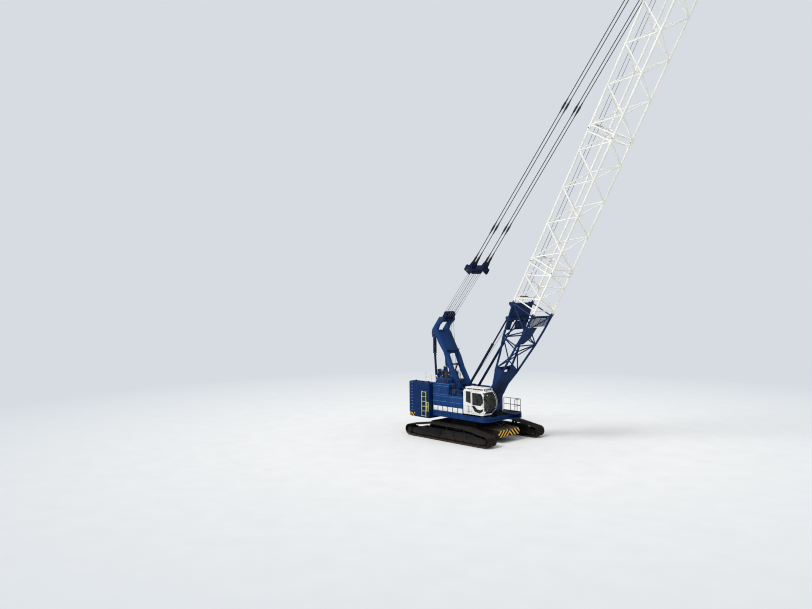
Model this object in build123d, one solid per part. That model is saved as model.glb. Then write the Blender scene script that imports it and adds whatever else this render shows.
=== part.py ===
from build123d import *
from math import cos, radians, sin, sqrt
import os

os.makedirs("parts", exist_ok=True)

# Crawler crane with a lattice boom. Millimetres, X to the front, Y to the left, Z up.
# The origin is on the ground, on the axis that the upper carriage slews about.

# Clearances
FIT = 0.3                  # between pieces that turn or slide on each other
PLAY = 0.5                 # beside an eye, between its ears
GAP = 6.0                  # round a door or between moving plates

# Crawlers
TRACK_LENGTH = 7900.0      # over the shoes
GAUGE = 5300.0             # middle to middle of the tracks
SHOE_WIDTH = 900.0
SHOE_COUNT = 76
SHOE_THICK = 60.0
SHOE_GAP = 0.14            # share of the pitch that is open between two shoes
LINK_THICK = 60.0          # chain inside the shoes
TRACK_TOP = 1130.0         # over the upper run, which is highest in its middle
WHEEL_Z = 440.0            # height of the sprocket's and the idler's axis
END_RADIUS = 380.0         # over the shoes, round the sprocket or the idler
GROUND_HALF = 3050.0       # last lower roller, from the middle
TOP_HALF = 1600.0          # last carrier roller, from the middle
ROLLER_RADIUS = 120.0
ROLLER_COUNT = 9
CARRIER_RADIUS = 70.0
CARRIER_COUNT = 3
CARRIER_HALF = 130.0        # half of its length
TREAD_HALF = 150.0          # half of a sprocket's or an idler's width
CHEEK_GAP = 400.0          # between the side plates that hold the rollers
CHEEK_THICK = 40.0
GIRDER_TOP = 780.0
GIRDER_BOTTOM = 380.0
GIRDER_HALF = 2900.0       # half of its length, below
GIRDER_EDGE = 560.0        # height of its ends' edge
GIRDER_SLOPE = 550.0       # length of the bevel at each end of its top
CHEEK_RIM = 60.0           # side plate round a roller's axis
CHEEK_END = 130.0          # side plate past a wheel's axis
CHEEK_SHOULDER = 640.0     # height of its upper edge beside the carriers
DRIVE_RADIUS = 200.0       # gear housing on the sprocket's outside
DRIVE_DEEP = 120.0

# Lower carriage
CARBODY_LENGTH = 2500.0
CARBODY_WIDTH = 2300.0
CARBODY_TOP = 1230.0
CARBODY_BOTTOM = 420.0
CARBODY_SHOULDER = 900.0
CARBODY_SLOPE = 260.0
RING_BOTTOM = 1250.0
AXLE_X = 1150.0            # cross beams, ahead of and behind the slewing axis
AXLE_WIDTH = 520.0
AXLE_HEIGHT = 430.0
EYE_Y = 1650.0             # lifting eyes on the cross beams
EYE_Z = 905.0
EYE_BORE = 70.0
EYE_THICK = 40.0
BALLAST_FRONT = 3250.0     # front face of the lower ballast
BALLAST_WIDTH = 2200.0
BALLAST_BOTTOM = 370.0
BALLAST_TOP = 890.0
BALLAST_BEVEL = 60.0

# Slewing ring
RING_RADIUS = 950.0
RING_BORE = 720.0
RING_TOP = 1370.0
RING_SPLIT = 0.5           # between the two races

# Upper carriage
DECK_BOTTOM = 1420.0
DECK_TOP = 1750.0
DECK_HALF = 1750.0         # half of the width
DECK_REAR = -2450.0
DECK_FRONT = 2450.0        # right side, under the cab
DECK_FRONT_LEFT = 2950.0   # left side, the walkway
SPINE_TOP = 1790.0
WELL_TOP = 1640.0          # middle girder under the boom's foot
SPINE_HALF = 1010.0        # half of the middle girder
TAIL_REAR = -4550.0

# Housings
HOUSE_REAR = -2420.0
HOUSE_INNER = 1120.0       # inner wall, from the middle
HOUSE_SLOPE = 90.0         # bevel between a front wall and its roof
HOUSES = (
    # name, side, front, low roof, step between the two roofs, high roof
    ("right", -1, 500.0, 2980.0, -820.0, 3830.0),
    ("left", 1, 1250.0, 2950.0, 150.0, 3450.0),
)
INTAKE = (-2150.0, -1050.0, 4170.0)       # rear, front and top of the air intake on the right roof
STACK = (-1350.0, -1430.0, 75.0, 4700.0)  # x, y, radius and top of the exhaust pipe
LOUVRES = (
    # rear, front, lowest and highest slot of a field in the right housing's side
    (-2180.0, -1700.0, 3080.0, 3560.0),
    (-1480.0, -1000.0, 3080.0, 3560.0),
)
LOUVRE_STEP = 80.0
LOUVRE_TALL = 34.0
LOUVRE_DEEP = 18.0
PUMPS = (
    # x, z, radius of the drums that lie across the low right roof
    (-560.0, 3230.0, 210.0),
    (-120.0, 3130.0, 140.0),
)
HOUSE_WALL = 40.0

# Winches
WINCH_Z = 2250.0           # height of the drums' axes
WINCH_HALF = 430.0         # half of a drum's length
WINCHES = (
    # name, x, drum radius
    ("hoist", -1180.0, 250.0),
    ("luffing", -2080.0, 230.0),
)

# Counterweight
BALLAST_REAR = -4860.0
SLAB_FRONT = -2500.0
SLAB_INNER = 1130.0
SLAB_HALF = DECK_HALF + 300.0
SLAB_COUNT = 10
SLAB_BASE_BOTTOM = 1200.0
SLAB_BASE_TOP = 1480.0
SLAB_TOP = 3750.0
SLAB_CORNER = 480.0
SEAM = 16.0                # groove between two slabs
SLAB_LUGS = (-4300.0, -3000.0)            # lifting lugs on the top slabs

# Cab
CAB_REAR = 560.0
CAB_RIGHT = -DECK_HALF
CAB_LEFT = CAB_RIGHT + 920.0
CAB_FLOOR = 1880.0
CAB_ROOF = 3600.0
CAB_WALL = 60.0
GLASS = 10.0
DOOR_REAR = 1310.0
DOOR_FRONT = 2440.0
DOOR_SILL = 1960.0
DOOR_TOP = 3530.0
HINGE_Z = (2150.0, 3250.0)
HINGE_RADIUS = 14.0
HINGE_TALL = 60.0

# Boom
BOOM_ANGLE = 61.0
FOOT_X = 1240.0
FOOT_Z = 1890.0
BOOM_WIDTH = 2100.0        # chord to chord
BOOM_DEPTH = 1830.0
CHORD = 150.0              # across the chord tube
LACING = 90.0
PIN_END = 210.0            # chord end without lacing
COLLAR = 150.0             # thick chord end, where sections are pinned
COLLAR_ACROSS = 205.0
FOOT_LENGTH = 8500.0
INSERT_SHORT = 3000.0
BAYS_SHORT = 3
BAYS_LONG = 7
INSERT_LONG = 9000.0
HEAD_START = FOOT_LENGTH + INSERT_SHORT + 2 * INSERT_LONG
HEAD_TAPER = 7000.0        # lattice of the head, up to its side plates
CHEEK_IN = 560.0           # side plates of the head, from the middle
CHEEK_OUT = 610.0
HEAD_BORE = 80.0           # pin hole for a jib or an auxiliary sheave
HEAD_BORE_AT = (HEAD_START + 8360.0, 0.0, 60.0)
FOOT_PIN = 150.0           # diameter
FOOT_BOSS = 165.0          # radius of the eye round it
LEG_INNER = 440.0
LEG_OUTER = 720.0

# A-frame and back-stops
AFRAME_FOOT = (-250.0, 2200.0)
AFRAME_HEAD = (-2600.0, 8400.0)
AFRAME_SIDE = 580.0        # middle of a leg, from the middle
AFRAME_THICK = 220.0       # leg, across
AFRAME_TONGUE = 60.0       # half of the leg's foot, between its lugs
AFRAME_FRONT = (
    # x, z up the front edge of a leg and round its head
    (-1500.0, 4900.0), (-1800.0, 5650.0), (-2360.0, 6560.0), (-2780.0, 7330.0), (-2980.0, 7620.0),
    (-2830.0, 7950.0), (-2420.0, 8290.0), (-2400.0, 8470.0), (-2520.0, 8580.0), (-2740.0, 8560.0),
    (-2960.0, 8280.0),
)
AFRAME_BACK = (
    # x, z down the bracket of the strut and the rear edge
    (-3470.0, 7640.0), (-3530.0, 7300.0), (-3470.0, 7040.0), (-3160.0, 7040.0), (-3060.0, 7180.0),
    (-2920.0, 6750.0), (-2340.0, 5980.0), (-1930.0, 4960.0),
)
AFRAME_PLATE = (
    # x, z of the front face of the plate between the legs
    (-1895.0, 5760.0), (-2385.0, 6560.0), (-2805.0, 7330.0), (-2990.0, 7600.0),
)
AFRAME_LEDGE = ((-2130.0, 6030.0), (-1960.0, 6110.0), (-1975.0, 6170.0), (-2160.0, 6110.0))
AFRAME_TOP = ((-3010.0, 8180.0), (-2850.0, 8390.0), (-2811.0, 8359.0), (-2970.0, 8150.0))
HEAD_PIN = 90.0            # radius of the pin that the cradle swings on
ARCH_RISE = 170.0          # of the plate's lower edge, between the legs
STRUT_TOP = (-3310.0, 7040.0)
STRUT_KNEE = 5850.0        # where the thick upper part ends
STRUT_FOOT = (-3020.0, 1850.0)
STRUT_THICK = 260.0
STRUT_THIN = 170.0
STOP_BASE = (-250.0, 3250.0)
STOP_SIDE = AFRAME_SIDE
STOP_ON_BOOM = (7000.0, -1160.0)
STOP_TUBE = 180.0
STOP_ROD = 110.0
STOP_PIN = 45.0            # radius
STOP_TUBE_LENGTH = 4200.0
STOP_ROD_HIDDEN = 1500.0   # rod inside its tube, at rest

# Boom stays
BRIDLE = (800.0, 12500.0)  # pin between the spreader and the pendants
ANCHOR = (HEAD_START + 8100.0, -700.0)    # pin of the pendants on the boom head
PENDANT_SIDES = (475.0, 825.0)
PENDANT_LINK = (
    # along the stays, square to them: end link at the spreader
    (-280, -50), (-220, -75), (380, -75), (440, -40), (440, 40), (380, 75), (-220, 75), (-280, 50),
)
SPREADER_END = (
    # side plate of the spreader, from the bridle pin
    (-420, -300), (-420, 300), (-560, 340), (-760, 340), (-900, 300), (-900, -300), (-760, -340), (-560, -340),
)
SPREADER_CORE = ((-450, -250), (-450, 250), (-620, 250), (-620, -250))
SPREADER_EAR = ((90, -60), (90, 60), (-460, 150), (-460, -150))
SPREADER_AXLE = -760.0
CRADLE_CHEEK = (
    # along the luffing ropes, square to them, from the A-frame's pin
    (-150, -120), (-150, 120), (460, 170), (620, 90), (620, -90), (460, -170),
)
CRADLE_PLATES = (-440.0, -220.0, 0.0, 220.0, 440.0)
CRADLE_AXLE = 440.0
TACKLE_RADIUS = 240.0
SPREADER_HALF = 950.0
TACKLE_SHEAVES = (-330.0, -110.0, 110.0, 330.0)
PENDANT = 56.0
PENDANT_JOINTS = (2900.0, 12200.0, 21200.0)

# Hook
HEAD_SHEAVE = (HEAD_START + 8200.0, 520.0)
SHEAVE_RADIUS = 330.0
SHEAVE_WIDTH = 60.0
HOOK_DROP = 7000.0         # from the head sheaves' axis to the block's
FALLS = (-210.0, -70.0, 70.0, 210.0)
ROPE = 24.0
BLOCK_CHEEK = (
    # x, z from the block's axis
    (-330, -120), (-250, 260), (250, 260), (330, -120), (200, -700), (90, -820), (-90, -820), (-200, -700),
)
BLOCK_INNER = 270.0        # cheek weights, from the middle
BLOCK_OUTER = 330.0
CROSSHEAD = (110.0, -760.0, -560.0)       # half length, bottom and top from the block's axis
HOOK_RADIUS = 330.0
HOOK_SEAT = 150.0
HOOK_HALF = 75.0           # half of its thickness
HOOK_SHANK = 70.0
HOOK_REACH = 560.0         # from the top of the shank to the middle of the bowl


def save(name, shape):
    """Write one piece under its name."""
    shape.label = name
    export_step(shape, f"parts/{name}.step")


def box(x0, x1, y0, y1, z0, z1):
    """A block between six planes."""
    return Pos((x0 + x1) / 2, (y0 + y1) / 2, (z0 + z1) / 2) * Box(x1 - x0, y1 - y0, z1 - z0)


def slab(outline, y0, y1):
    """An outline in the X-Z plane, made solid from y0 to y1."""
    side = Plane(origin=(0, y1, 0), x_dir=(1, 0, 0), z_dir=(0, -1, 0))
    return extrude(side * make_face(outline), amount=y1 - y0)


def cross_slab(outline, x0, x1):
    """An outline in the Y-Z plane, made solid from x0 to x1."""
    side = Plane(origin=(x0, 0, 0), x_dir=(0, 1, 0), z_dir=(1, 0, 0))
    face = outline if isinstance(outline, Sketch) else make_face(outline)
    return extrude(side * face, amount=x1 - x0)


def polygon(*corners):
    """A closed outline with straight sides."""
    return Polyline(*corners, close=True)


def drum(x, z, radius, y0, y1):
    """A cylinder along Y."""
    end = Plane(origin=(x, y0, z), x_dir=(1, 0, 0), z_dir=(0, 1, 0))
    return extrude(end * Circle(radius), amount=y1 - y0)


def bar(start, end, across, sides=6):
    """A straight member with flat sides, from point to point."""
    way = Vector(*end) - Vector(*start)
    foot = Plane(origin=start, z_dir=way)
    return extrude(foot * RegularPolygon(across / 2, sides), amount=way.length)


def join(pieces):
    """One solid from pieces that meet."""
    return pieces[0].fuse(*pieces[1:]) if len(pieces) > 1 else pieces[0]


def both_sides(piece):
    """A piece and its mirror image across the middle plane."""
    return [piece, mirror(piece, Plane.XZ)]


def on_boom(s, y, t):
    """A point s along the boom from its foot pin and t to its front side."""
    a = radians(BOOM_ANGLE)
    return (FOOT_X + s * cos(a) + t * sin(a), y, FOOT_Z + s * sin(a) - t * cos(a))


def boom_slab(outline, y0, y1):
    """An outline in the boom's own side view (s, t), made solid from y0 to y1."""
    a = radians(BOOM_ANGLE)
    side = Plane(origin=(FOOT_X, y0, FOOT_Z), x_dir=(cos(a), 0, sin(a)), z_dir=(0, 1, 0))
    return extrude(side * make_face(outline), amount=y1 - y0)


# Tracks: one closed loop each, shoes on the outside, links inside

def track_hull(inset):
    """The loop round the wheels and rollers, set in from the shoes' outside."""
    wheel_x = TRACK_LENGTH / 2 - END_RADIUS
    roller = END_RADIUS
    rounds = (
        (wheel_x, WHEEL_Z, END_RADIUS),
        (-wheel_x, WHEEL_Z, END_RADIUS),
        (GROUND_HALF, roller, roller),
        (-GROUND_HALF, roller, roller),
        (TOP_HALF, TRACK_TOP - roller, roller),
        (-TOP_HALF, TRACK_TOP - roller, roller),
    )
    circles = [Pos(x, z) * Circle(radius - inset).edge() for x, z, radius in rounds]
    return make_hull(circles).face()


def track_loop(side):
    """A band with a raised shoe at every pitch."""
    line = track_hull(SHOE_THICK).outer_wire()
    middle = Vector(0, TRACK_TOP / 2)
    pitch = line.length / SHOE_COUNT
    outline = []
    for i in range(SHOE_COUNT):
        for share, lift in ((0, 0), (0, 1), (1 - SHOE_GAP, 1), (1 - SHOE_GAP, 0)):
            reach = (i + share) * pitch
            point = line.position_at(reach, position_mode=PositionMode.LENGTH)
            tangent = line.tangent_at(reach, position_mode=PositionMode.LENGTH)
            normal = Vector(tangent.Y, -tangent.X)
            if normal.dot(point - middle) < 0:
                normal = normal * -1
            raised = point + normal * (SHOE_THICK * (1.0 if lift else 0.35))
            outline.append((raised.X, raised.Y))
    band = make_face(polygon(*outline)) - track_hull(SHOE_THICK + LINK_THICK)
    y0 = side * GAUGE / 2 - SHOE_WIDTH / 2
    plane = Plane(origin=(0, y0 + SHOE_WIDTH, 0), x_dir=(1, 0, 0), z_dir=(0, -1, 0))
    return extrude(plane * band, amount=SHOE_WIDTH)


def crawler_frame(side):
    """The girder inside a track, with side plates that hold its rollers and wheels."""
    middle = side * GAUGE / 2
    wheel_x = TRACK_LENGTH / 2 - END_RADIUS
    outer = CHEEK_GAP / 2 + CHEEK_THICK
    roller_z = SHOE_THICK + LINK_THICK + ROLLER_RADIUS + FIT
    girder = slab(
        polygon(
            (-GIRDER_HALF, GIRDER_BOTTOM), (GIRDER_HALF, GIRDER_BOTTOM), (GIRDER_HALF + 100, GIRDER_EDGE),
            (GIRDER_HALF - GIRDER_SLOPE, GIRDER_TOP), (GIRDER_SLOPE - GIRDER_HALF, GIRDER_TOP),
            (-GIRDER_HALF - 100, GIRDER_EDGE),
        ),
        middle - outer, middle + outer,
    )
    last, wide, tall = GROUND_HALF + CHEEK_RIM, wheel_x + CHEEK_END, 0.85 * CHEEK_END
    cheek = polygon(
        (-last, roller_z - CHEEK_RIM), (last, roller_z - CHEEK_RIM),
        (wide, WHEEL_Z - tall), (wide, WHEEL_Z + tall),
        (GIRDER_HALF, CHEEK_SHOULDER), (-GIRDER_HALF, CHEEK_SHOULDER),
        (-wide, WHEEL_Z + tall), (-wide, WHEEL_Z - tall),
    )
    pieces = [girder]
    for edge in (-1, 1):
        y = sorted((middle + edge * CHEEK_GAP / 2, middle + edge * outer))
        pieces.append(slab(cheek, *y))
    carrier_z = TRACK_TOP - SHOE_THICK - LINK_THICK - CARRIER_RADIUS - FIT
    for x in carrier_places():
        for y0, y1 in ((-outer, -CARRIER_HALF), (CARRIER_HALF, outer)):
            pieces.append(box(x - 60, x + 60, middle + y0, middle + y1, GIRDER_TOP - 80, carrier_z + 40))
    far, near = side * (abs(middle) + outer), side * (abs(middle) + outer + DRIVE_DEEP)
    for x, radius in ((-wheel_x, DRIVE_RADIUS), (wheel_x, 0.6 * DRIVE_RADIUS)):
        pieces.append(drum(x, WHEEL_Z, radius, *sorted((far, near))))
    return join(pieces)


def roller_places():
    """Middles of the lower rollers."""
    step = 2 * GROUND_HALF / (ROLLER_COUNT - 1)
    return [-GROUND_HALF + i * step for i in range(ROLLER_COUNT)]


def carrier_places():
    """Middles of the rollers under the upper run."""
    step = 2 * TOP_HALF / (CARRIER_COUNT - 1)
    return [-TOP_HALF + i * step for i in range(CARRIER_COUNT)]


def wheels(side):
    """Sprocket, idler and rollers: solids that stand between the side plates."""
    middle = side * GAUGE / 2
    half = CHEEK_GAP / 2
    wheel_x = TRACK_LENGTH / 2 - END_RADIUS
    inset = SHOE_THICK + LINK_THICK + FIT
    roller_z = inset + ROLLER_RADIUS
    solids = []
    for x in roller_places():
        solids.append(drum(x, roller_z, ROLLER_RADIUS, middle - half, middle + half))
    for x in (-wheel_x, wheel_x):
        tread = drum(x, WHEEL_Z, END_RADIUS - inset, middle - TREAD_HALF, middle + TREAD_HALF)
        solids.append(join([tread, drum(x, WHEEL_Z, 90, middle - half, middle + half)]))
    carrier_z = TRACK_TOP - inset - CARRIER_RADIUS
    for x in carrier_places():
        solids.append(drum(x, carrier_z, CARRIER_RADIUS, middle - CARRIER_HALF, middle + CARRIER_HALF))
    return Compound(solids)


# Lower carriage

def carbody():
    """Welded centre body with two cross beams that carry the crawlers."""
    reach = GAUGE / 2 - CHEEK_GAP / 2 - CHEEK_THICK
    half = CARBODY_LENGTH / 2
    body = slab(
        polygon(
            (-half, CARBODY_BOTTOM), (half, CARBODY_BOTTOM), (half, CARBODY_SHOULDER),
            (half - CARBODY_SLOPE, CARBODY_TOP), (CARBODY_SLOPE - half, CARBODY_TOP), (-half, CARBODY_SHOULDER),
        ),
        -CARBODY_WIDTH / 2, CARBODY_WIDTH / 2,
    )
    beams = [
        box(x - AXLE_WIDTH / 2, x + AXLE_WIDTH / 2, -reach, reach,
            GIRDER_BOTTOM + 20, GIRDER_BOTTOM + 20 + AXLE_HEIGHT)
        for x in (-AXLE_X, AXLE_X)
    ]
    seat = Pos(0, 0, (CARBODY_TOP + RING_BOTTOM) / 2) * Cylinder(RING_RADIUS + 60, RING_BOTTOM - CARBODY_TOP)
    deck = GIRDER_BOTTOM + 20 + AXLE_HEIGHT
    wide, rim = 1.55 * EYE_BORE, 1.05 * EYE_BORE
    eye = polygon((-wide, deck - 20), (wide, deck - 20), (EYE_BORE, EYE_Z + 50), (0, EYE_Z + rim),
                  (-EYE_BORE, EYE_Z + 50))
    eyes = []
    for y in (-EYE_Y, EYE_Y):
        for x in (-AXLE_X, AXLE_X):
            eyes.append(Pos(0, y, 0) * cross_slab(eye, x - EYE_THICK / 2, x + EYE_THICK / 2))
    whole = join([body] + beams + [seat] + eyes)
    for y in (-EYE_Y, EYE_Y):
        whole -= cross_slab(Pos(y, EYE_Z) * Circle(EYE_BORE / 2), -AXLE_X - 60, AXLE_X + 60)
    return whole


def lower_ballast(end):
    """Block hung on the front or the rear of the carbody."""
    near = AXLE_X + AXLE_WIDTH / 2
    front, edge = BALLAST_FRONT, BALLAST_BEVEL
    outline = polygon(
        (end * near, BALLAST_BOTTOM + edge), (end * (front - 2 * edge), BALLAST_BOTTOM),
        (end * front, BALLAST_BOTTOM + edge), (end * front, BALLAST_TOP - edge),
        (end * (front - 2.5 * edge), BALLAST_TOP), (end * (near + 8 * edge), BALLAST_TOP + edge),
        (end * near, BALLAST_TOP + edge),
    )
    return slab(outline, -BALLAST_WIDTH / 2, BALLAST_WIDTH / 2)


def slewing_ring():
    """Lower race with its gear ring."""
    height = RING_TOP - RING_BOTTOM
    ring = Pos(0, 0, RING_BOTTOM + height / 2) * (
        Cylinder(RING_RADIUS, height) - Cylinder(RING_BORE, height)
    )
    return ring


# Upper carriage

def upper_frame():
    """Deck with side sills, middle girder, boom-foot lugs and the upper race."""
    race_bottom = RING_TOP + RING_SPLIT
    race = Pos(0, 0, (race_bottom + DECK_BOTTOM) / 2) * (
        Cylinder(RING_RADIUS - 40, DECK_BOTTOM - race_bottom)
        - Cylinder(RING_BORE, DECK_BOTTOM - race_bottom)
    )
    floor = extrude(
        Plane(origin=(0, 0, DECK_BOTTOM)) * make_face(polygon(
            (DECK_REAR, -DECK_HALF), (DECK_FRONT, -DECK_HALF), (DECK_FRONT + 200, -DECK_HALF + 350),
            (DECK_FRONT + 200, 900), (DECK_FRONT_LEFT, 1000), (DECK_FRONT_LEFT, DECK_HALF),
            (DECK_REAR, DECK_HALF),
        )),
        amount=60,
    )
    pieces = [race, floor]
    pieces.append(box(DECK_REAR, DECK_FRONT, -DECK_HALF, -DECK_HALF + 120, DECK_BOTTOM, DECK_TOP))
    pieces.append(box(DECK_REAR, DECK_FRONT_LEFT, DECK_HALF - 120, DECK_HALF, DECK_BOTTOM, DECK_TOP))
    pieces.append(slab(
        polygon(
            (TAIL_REAR, SLAB_BASE_TOP + 20), (DECK_REAR - 20, SLAB_BASE_TOP + 20),
            (DECK_REAR - 20, DECK_BOTTOM),
            (DECK_FRONT, DECK_BOTTOM), (DECK_FRONT, WELL_TOP), (FOOT_X - 320, WELL_TOP),
            (FOOT_X - 400, SPINE_TOP), (-3200, SPINE_TOP), (TAIL_REAR, DECK_TOP - 40),
        ),
        -SPINE_HALF, SPINE_HALF,
    ))
    for x in (DECK_REAR, -1300, 500, DECK_FRONT - 120):
        for y0, y1 in ((-DECK_HALF, 20 - SPINE_HALF), (SPINE_HALF - 20, DECK_HALF)):
            pieces.append(box(x, x + 120, y0, y1, DECK_BOTTOM, DECK_TOP))
    pieces.append(box(DECK_REAR, DECK_FRONT_LEFT, SPINE_HALF - 20, DECK_HALF, DECK_TOP - 30, DECK_TOP))
    pieces.append(box(DECK_REAR, DECK_FRONT, -DECK_HALF, 20 - SPINE_HALF, DECK_TOP - 30, DECK_TOP))
    lug = polygon(
        (FOOT_X - 420, WELL_TOP), (FOOT_X + 420, WELL_TOP), (FOOT_X + 190, FOOT_Z + 120),
        (FOOT_X + 70, FOOT_Z + 190), (FOOT_X - 70, FOOT_Z + 190), (FOOT_X - 190, FOOT_Z + 120),
    )
    for inner, outer in ((LEG_INNER - GAP - 60, LEG_INNER - GAP), (LEG_OUTER + GAP, LEG_OUTER + GAP + 50)):
        pieces += both_sides(slab(lug, inner, outer))
    foot = polygon(
        (AFRAME_FOOT[0] - 380, DECK_TOP), (AFRAME_FOOT[0] + 230, DECK_TOP),
        (AFRAME_FOOT[0] + 150, AFRAME_FOOT[1] + 90), (AFRAME_FOOT[0], AFRAME_FOOT[1] + 180),
        (AFRAME_FOOT[0] - 150, AFRAME_FOOT[1] + 90),
    )
    for y in (AFRAME_SIDE - AFRAME_THICK / 2, AFRAME_SIDE + AFRAME_TONGUE):
        pieces += both_sides(slab(foot, y, y + AFRAME_THICK / 2 - AFRAME_TONGUE))
    frame = join(pieces)
    for end in (-1, 1):
        y = sorted((end * (LEG_INNER - 80), end * (LEG_OUTER + 70)))
        frame -= drum(FOOT_X, FOOT_Z, FOOT_PIN / 2 + FIT, *y)
    return frame


def foot_pins():
    """The two pins that the boom turns on."""
    y0, y1 = LEG_INNER - GAP - 70, LEG_OUTER + GAP + 50
    return Compound(both_sides(drum(FOOT_X, FOOT_Z, FOOT_PIN / 2, y0, y1)))


def housing_outline(front, low, step, high, wall):
    """Side view of a housing with a low front part, set in by the wall's thickness."""
    floor = DECK_TOP - (1 if wall else 0)
    slope = HOUSE_SLOPE + 0.4 * wall
    return polygon(
        (HOUSE_REAR + wall, floor), (front - wall, floor), (front - wall, low - slope),
        (front - slope, low - wall), (step - wall, low - wall), (step - wall, high - slope),
        (step - slope, high - wall), (HOUSE_REAR + wall, high - wall),
    )


def housing(side, front, low, step, high):
    """Machinery housing: walls and roofs, open below to the deck."""
    y = sorted((side * HOUSE_INNER, side * (DECK_HALF - 10)))
    outside = housing_outline(front, low, step, high, 0)
    inside = housing_outline(front, low, step, high, HOUSE_WALL)
    return slab(outside, *y) - slab(inside, y[0] + HOUSE_WALL, y[1] - HOUSE_WALL)


def louvres():
    """Slots to cut into the right housing's side, over the radiator."""
    face = 10 - DECK_HALF
    slots = []
    for x0, x1, low, high in LOUVRES:
        for i in range(int((high - low) / LOUVRE_STEP) + 1):
            z = low + i * LOUVRE_STEP
            slots.append(box(x0, x1, face - 1, face + LOUVRE_DEEP, z, z + LOUVRE_TALL))
    return slots


def roof_gear(low, high):
    """Air intake with its exhaust pipe, and the drums of the pump drive, on the right roofs."""
    rear, front, top = INTAKE
    x, y, radius, pipe_top = STACK
    outer, inner = 150 - DECK_HALF, -HOUSE_INNER - 90
    intake = slab(polygon((rear, high - 5), (front, high - 5), (front, top - 120), (front - 120, top),
                          (rear + 60, top), (rear, top - 60)), outer, inner)
    pipe = Pos(x, y, (top - 60 + pipe_top) / 2) * Cylinder(radius, pipe_top - top + 60)
    bore = Pos(x, y, pipe_top) * Cylinder(radius - 8, 300)
    pieces = [intake, pipe]
    for x, z, radius in PUMPS:
        pieces.append(drum(x, z, radius, outer, inner))
        pieces.append(box(x - 60, x + 60, outer + 40, inner - 40, low - 5, z))
    return [join(pieces[:2]) - bore] + [join(pieces[i:i + 2]) for i in (2, 4)]


def engine():
    """The engine, a plain block on its bearers inside the right housing."""
    return box(-2200, -500, -DECK_HALF + 130, -HOUSE_INNER - 90, DECK_TOP, 2900)


def winch(x, radius):
    """A rope drum between two stands on the deck."""
    z, half, flange = WINCH_Z, WINCH_HALF, 24.0
    body = drum(x, z, radius, -half, half)
    ends = [drum(x, z, radius + 90, -half, flange - half), drum(x, z, radius + 90, half - flange, half)]
    stand = polygon(
        (x - 320, DECK_TOP + 40), (x + 320, DECK_TOP + 40), (x + 160, z + 60), (x, z + 150),
        (x - 160, z + 60),
    )
    stands = [slab(stand, -half - 40, -half), slab(stand, half, half + 40)]
    return join([body] + ends + stands)


def counterweight_base():
    """Base slab under the tail of the upper frame."""
    plan = polygon(
        (SLAB_FRONT, -SLAB_HALF), (SLAB_FRONT, SLAB_HALF), (BALLAST_REAR + SLAB_CORNER, SLAB_HALF),
        (BALLAST_REAR + 120, SLAB_HALF - 200), (BALLAST_REAR, SLAB_HALF - SLAB_CORNER),
        (BALLAST_REAR, SLAB_CORNER - SLAB_HALF), (BALLAST_REAR + 120, 200 - SLAB_HALF),
        (BALLAST_REAR + SLAB_CORNER, -SLAB_HALF),
    )
    height = SLAB_BASE_TOP - SLAB_BASE_BOTTOM
    base = extrude(Plane(origin=(0, 0, SLAB_BASE_BOTTOM)) * make_face(plan), amount=height)
    seat = box(TAIL_REAR + 100, SLAB_FRONT, -600, 600, SLAB_BASE_TOP, SLAB_BASE_TOP + 20)
    return join([base, seat])


def counterweight_stack(side):
    """Cast slabs piled on one end of the base, joined at their seams."""
    corner = SLAB_CORNER
    pitch = (SLAB_TOP - SLAB_BASE_TOP) / SLAB_COUNT
    slabs = []
    for i in range(SLAB_COUNT):
        z0 = SLAB_BASE_TOP + i * pitch
        for inset, low, high in ((0, z0 + SEAM, z0 + pitch), (SEAM, z0, z0 + SEAM)):
            y_in, y_out = side * (SLAB_INNER + inset), side * (SLAB_HALF - inset)
            x_in, x_out = SLAB_FRONT - inset, BALLAST_REAR + inset
            plan = polygon(
                (x_in, y_in), (x_in, y_out), (x_out + corner, y_out),
                (x_out + 0.29 * corner, y_out - side * 0.29 * corner), (x_out, y_out - side * corner),
                (x_out, y_in),
            )
            slabs.append(extrude(Plane(origin=(0, 0, low)) * make_face(plan), amount=high - low))
    middle = side * (SLAB_INNER + SLAB_HALF) / 2
    for x in SLAB_LUGS:
        low, high = SLAB_TOP - 5, SLAB_TOP + 110
        lug = polygon((x - 90, low), (x + 90, low), (x + 50, high), (x - 50, high))
        slabs.append(slab(lug, middle - 20, middle + 20))
    return join(slabs)


# A-frame

def leg_plate():
    """Plate between the front edges of the legs, its lower edge arched."""
    clear = AFRAME_SIDE - AFRAME_THICK / 2
    thick = 70.0
    rear = [(x - thick, z - 0.57 * thick) for x, z in reversed(AFRAME_PLATE)]
    plate = slab(polygon(*AFRAME_PLATE, *rear), -clear, clear)
    (x0, z0), (x1, z1) = AFRAME_PLATE[:2]
    length = sqrt((x1 - x0) ** 2 + (z1 - z0) ** 2)
    down_x, down_z = (x0 - x1) / length, (z0 - z1) / length
    radius = (clear ** 2 + ARCH_RISE ** 2) / (2 * ARCH_RISE)
    reach = radius - ARCH_RISE
    normal = (-down_z, 0, down_x)
    x, z = x0 + reach * down_x, z0 + reach * down_z
    mouth = Plane(origin=(x - 200 * normal[0], 0, z - 200 * normal[2]), z_dir=normal)
    return plate - extrude(mouth * Circle(radius), amount=400)


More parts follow.
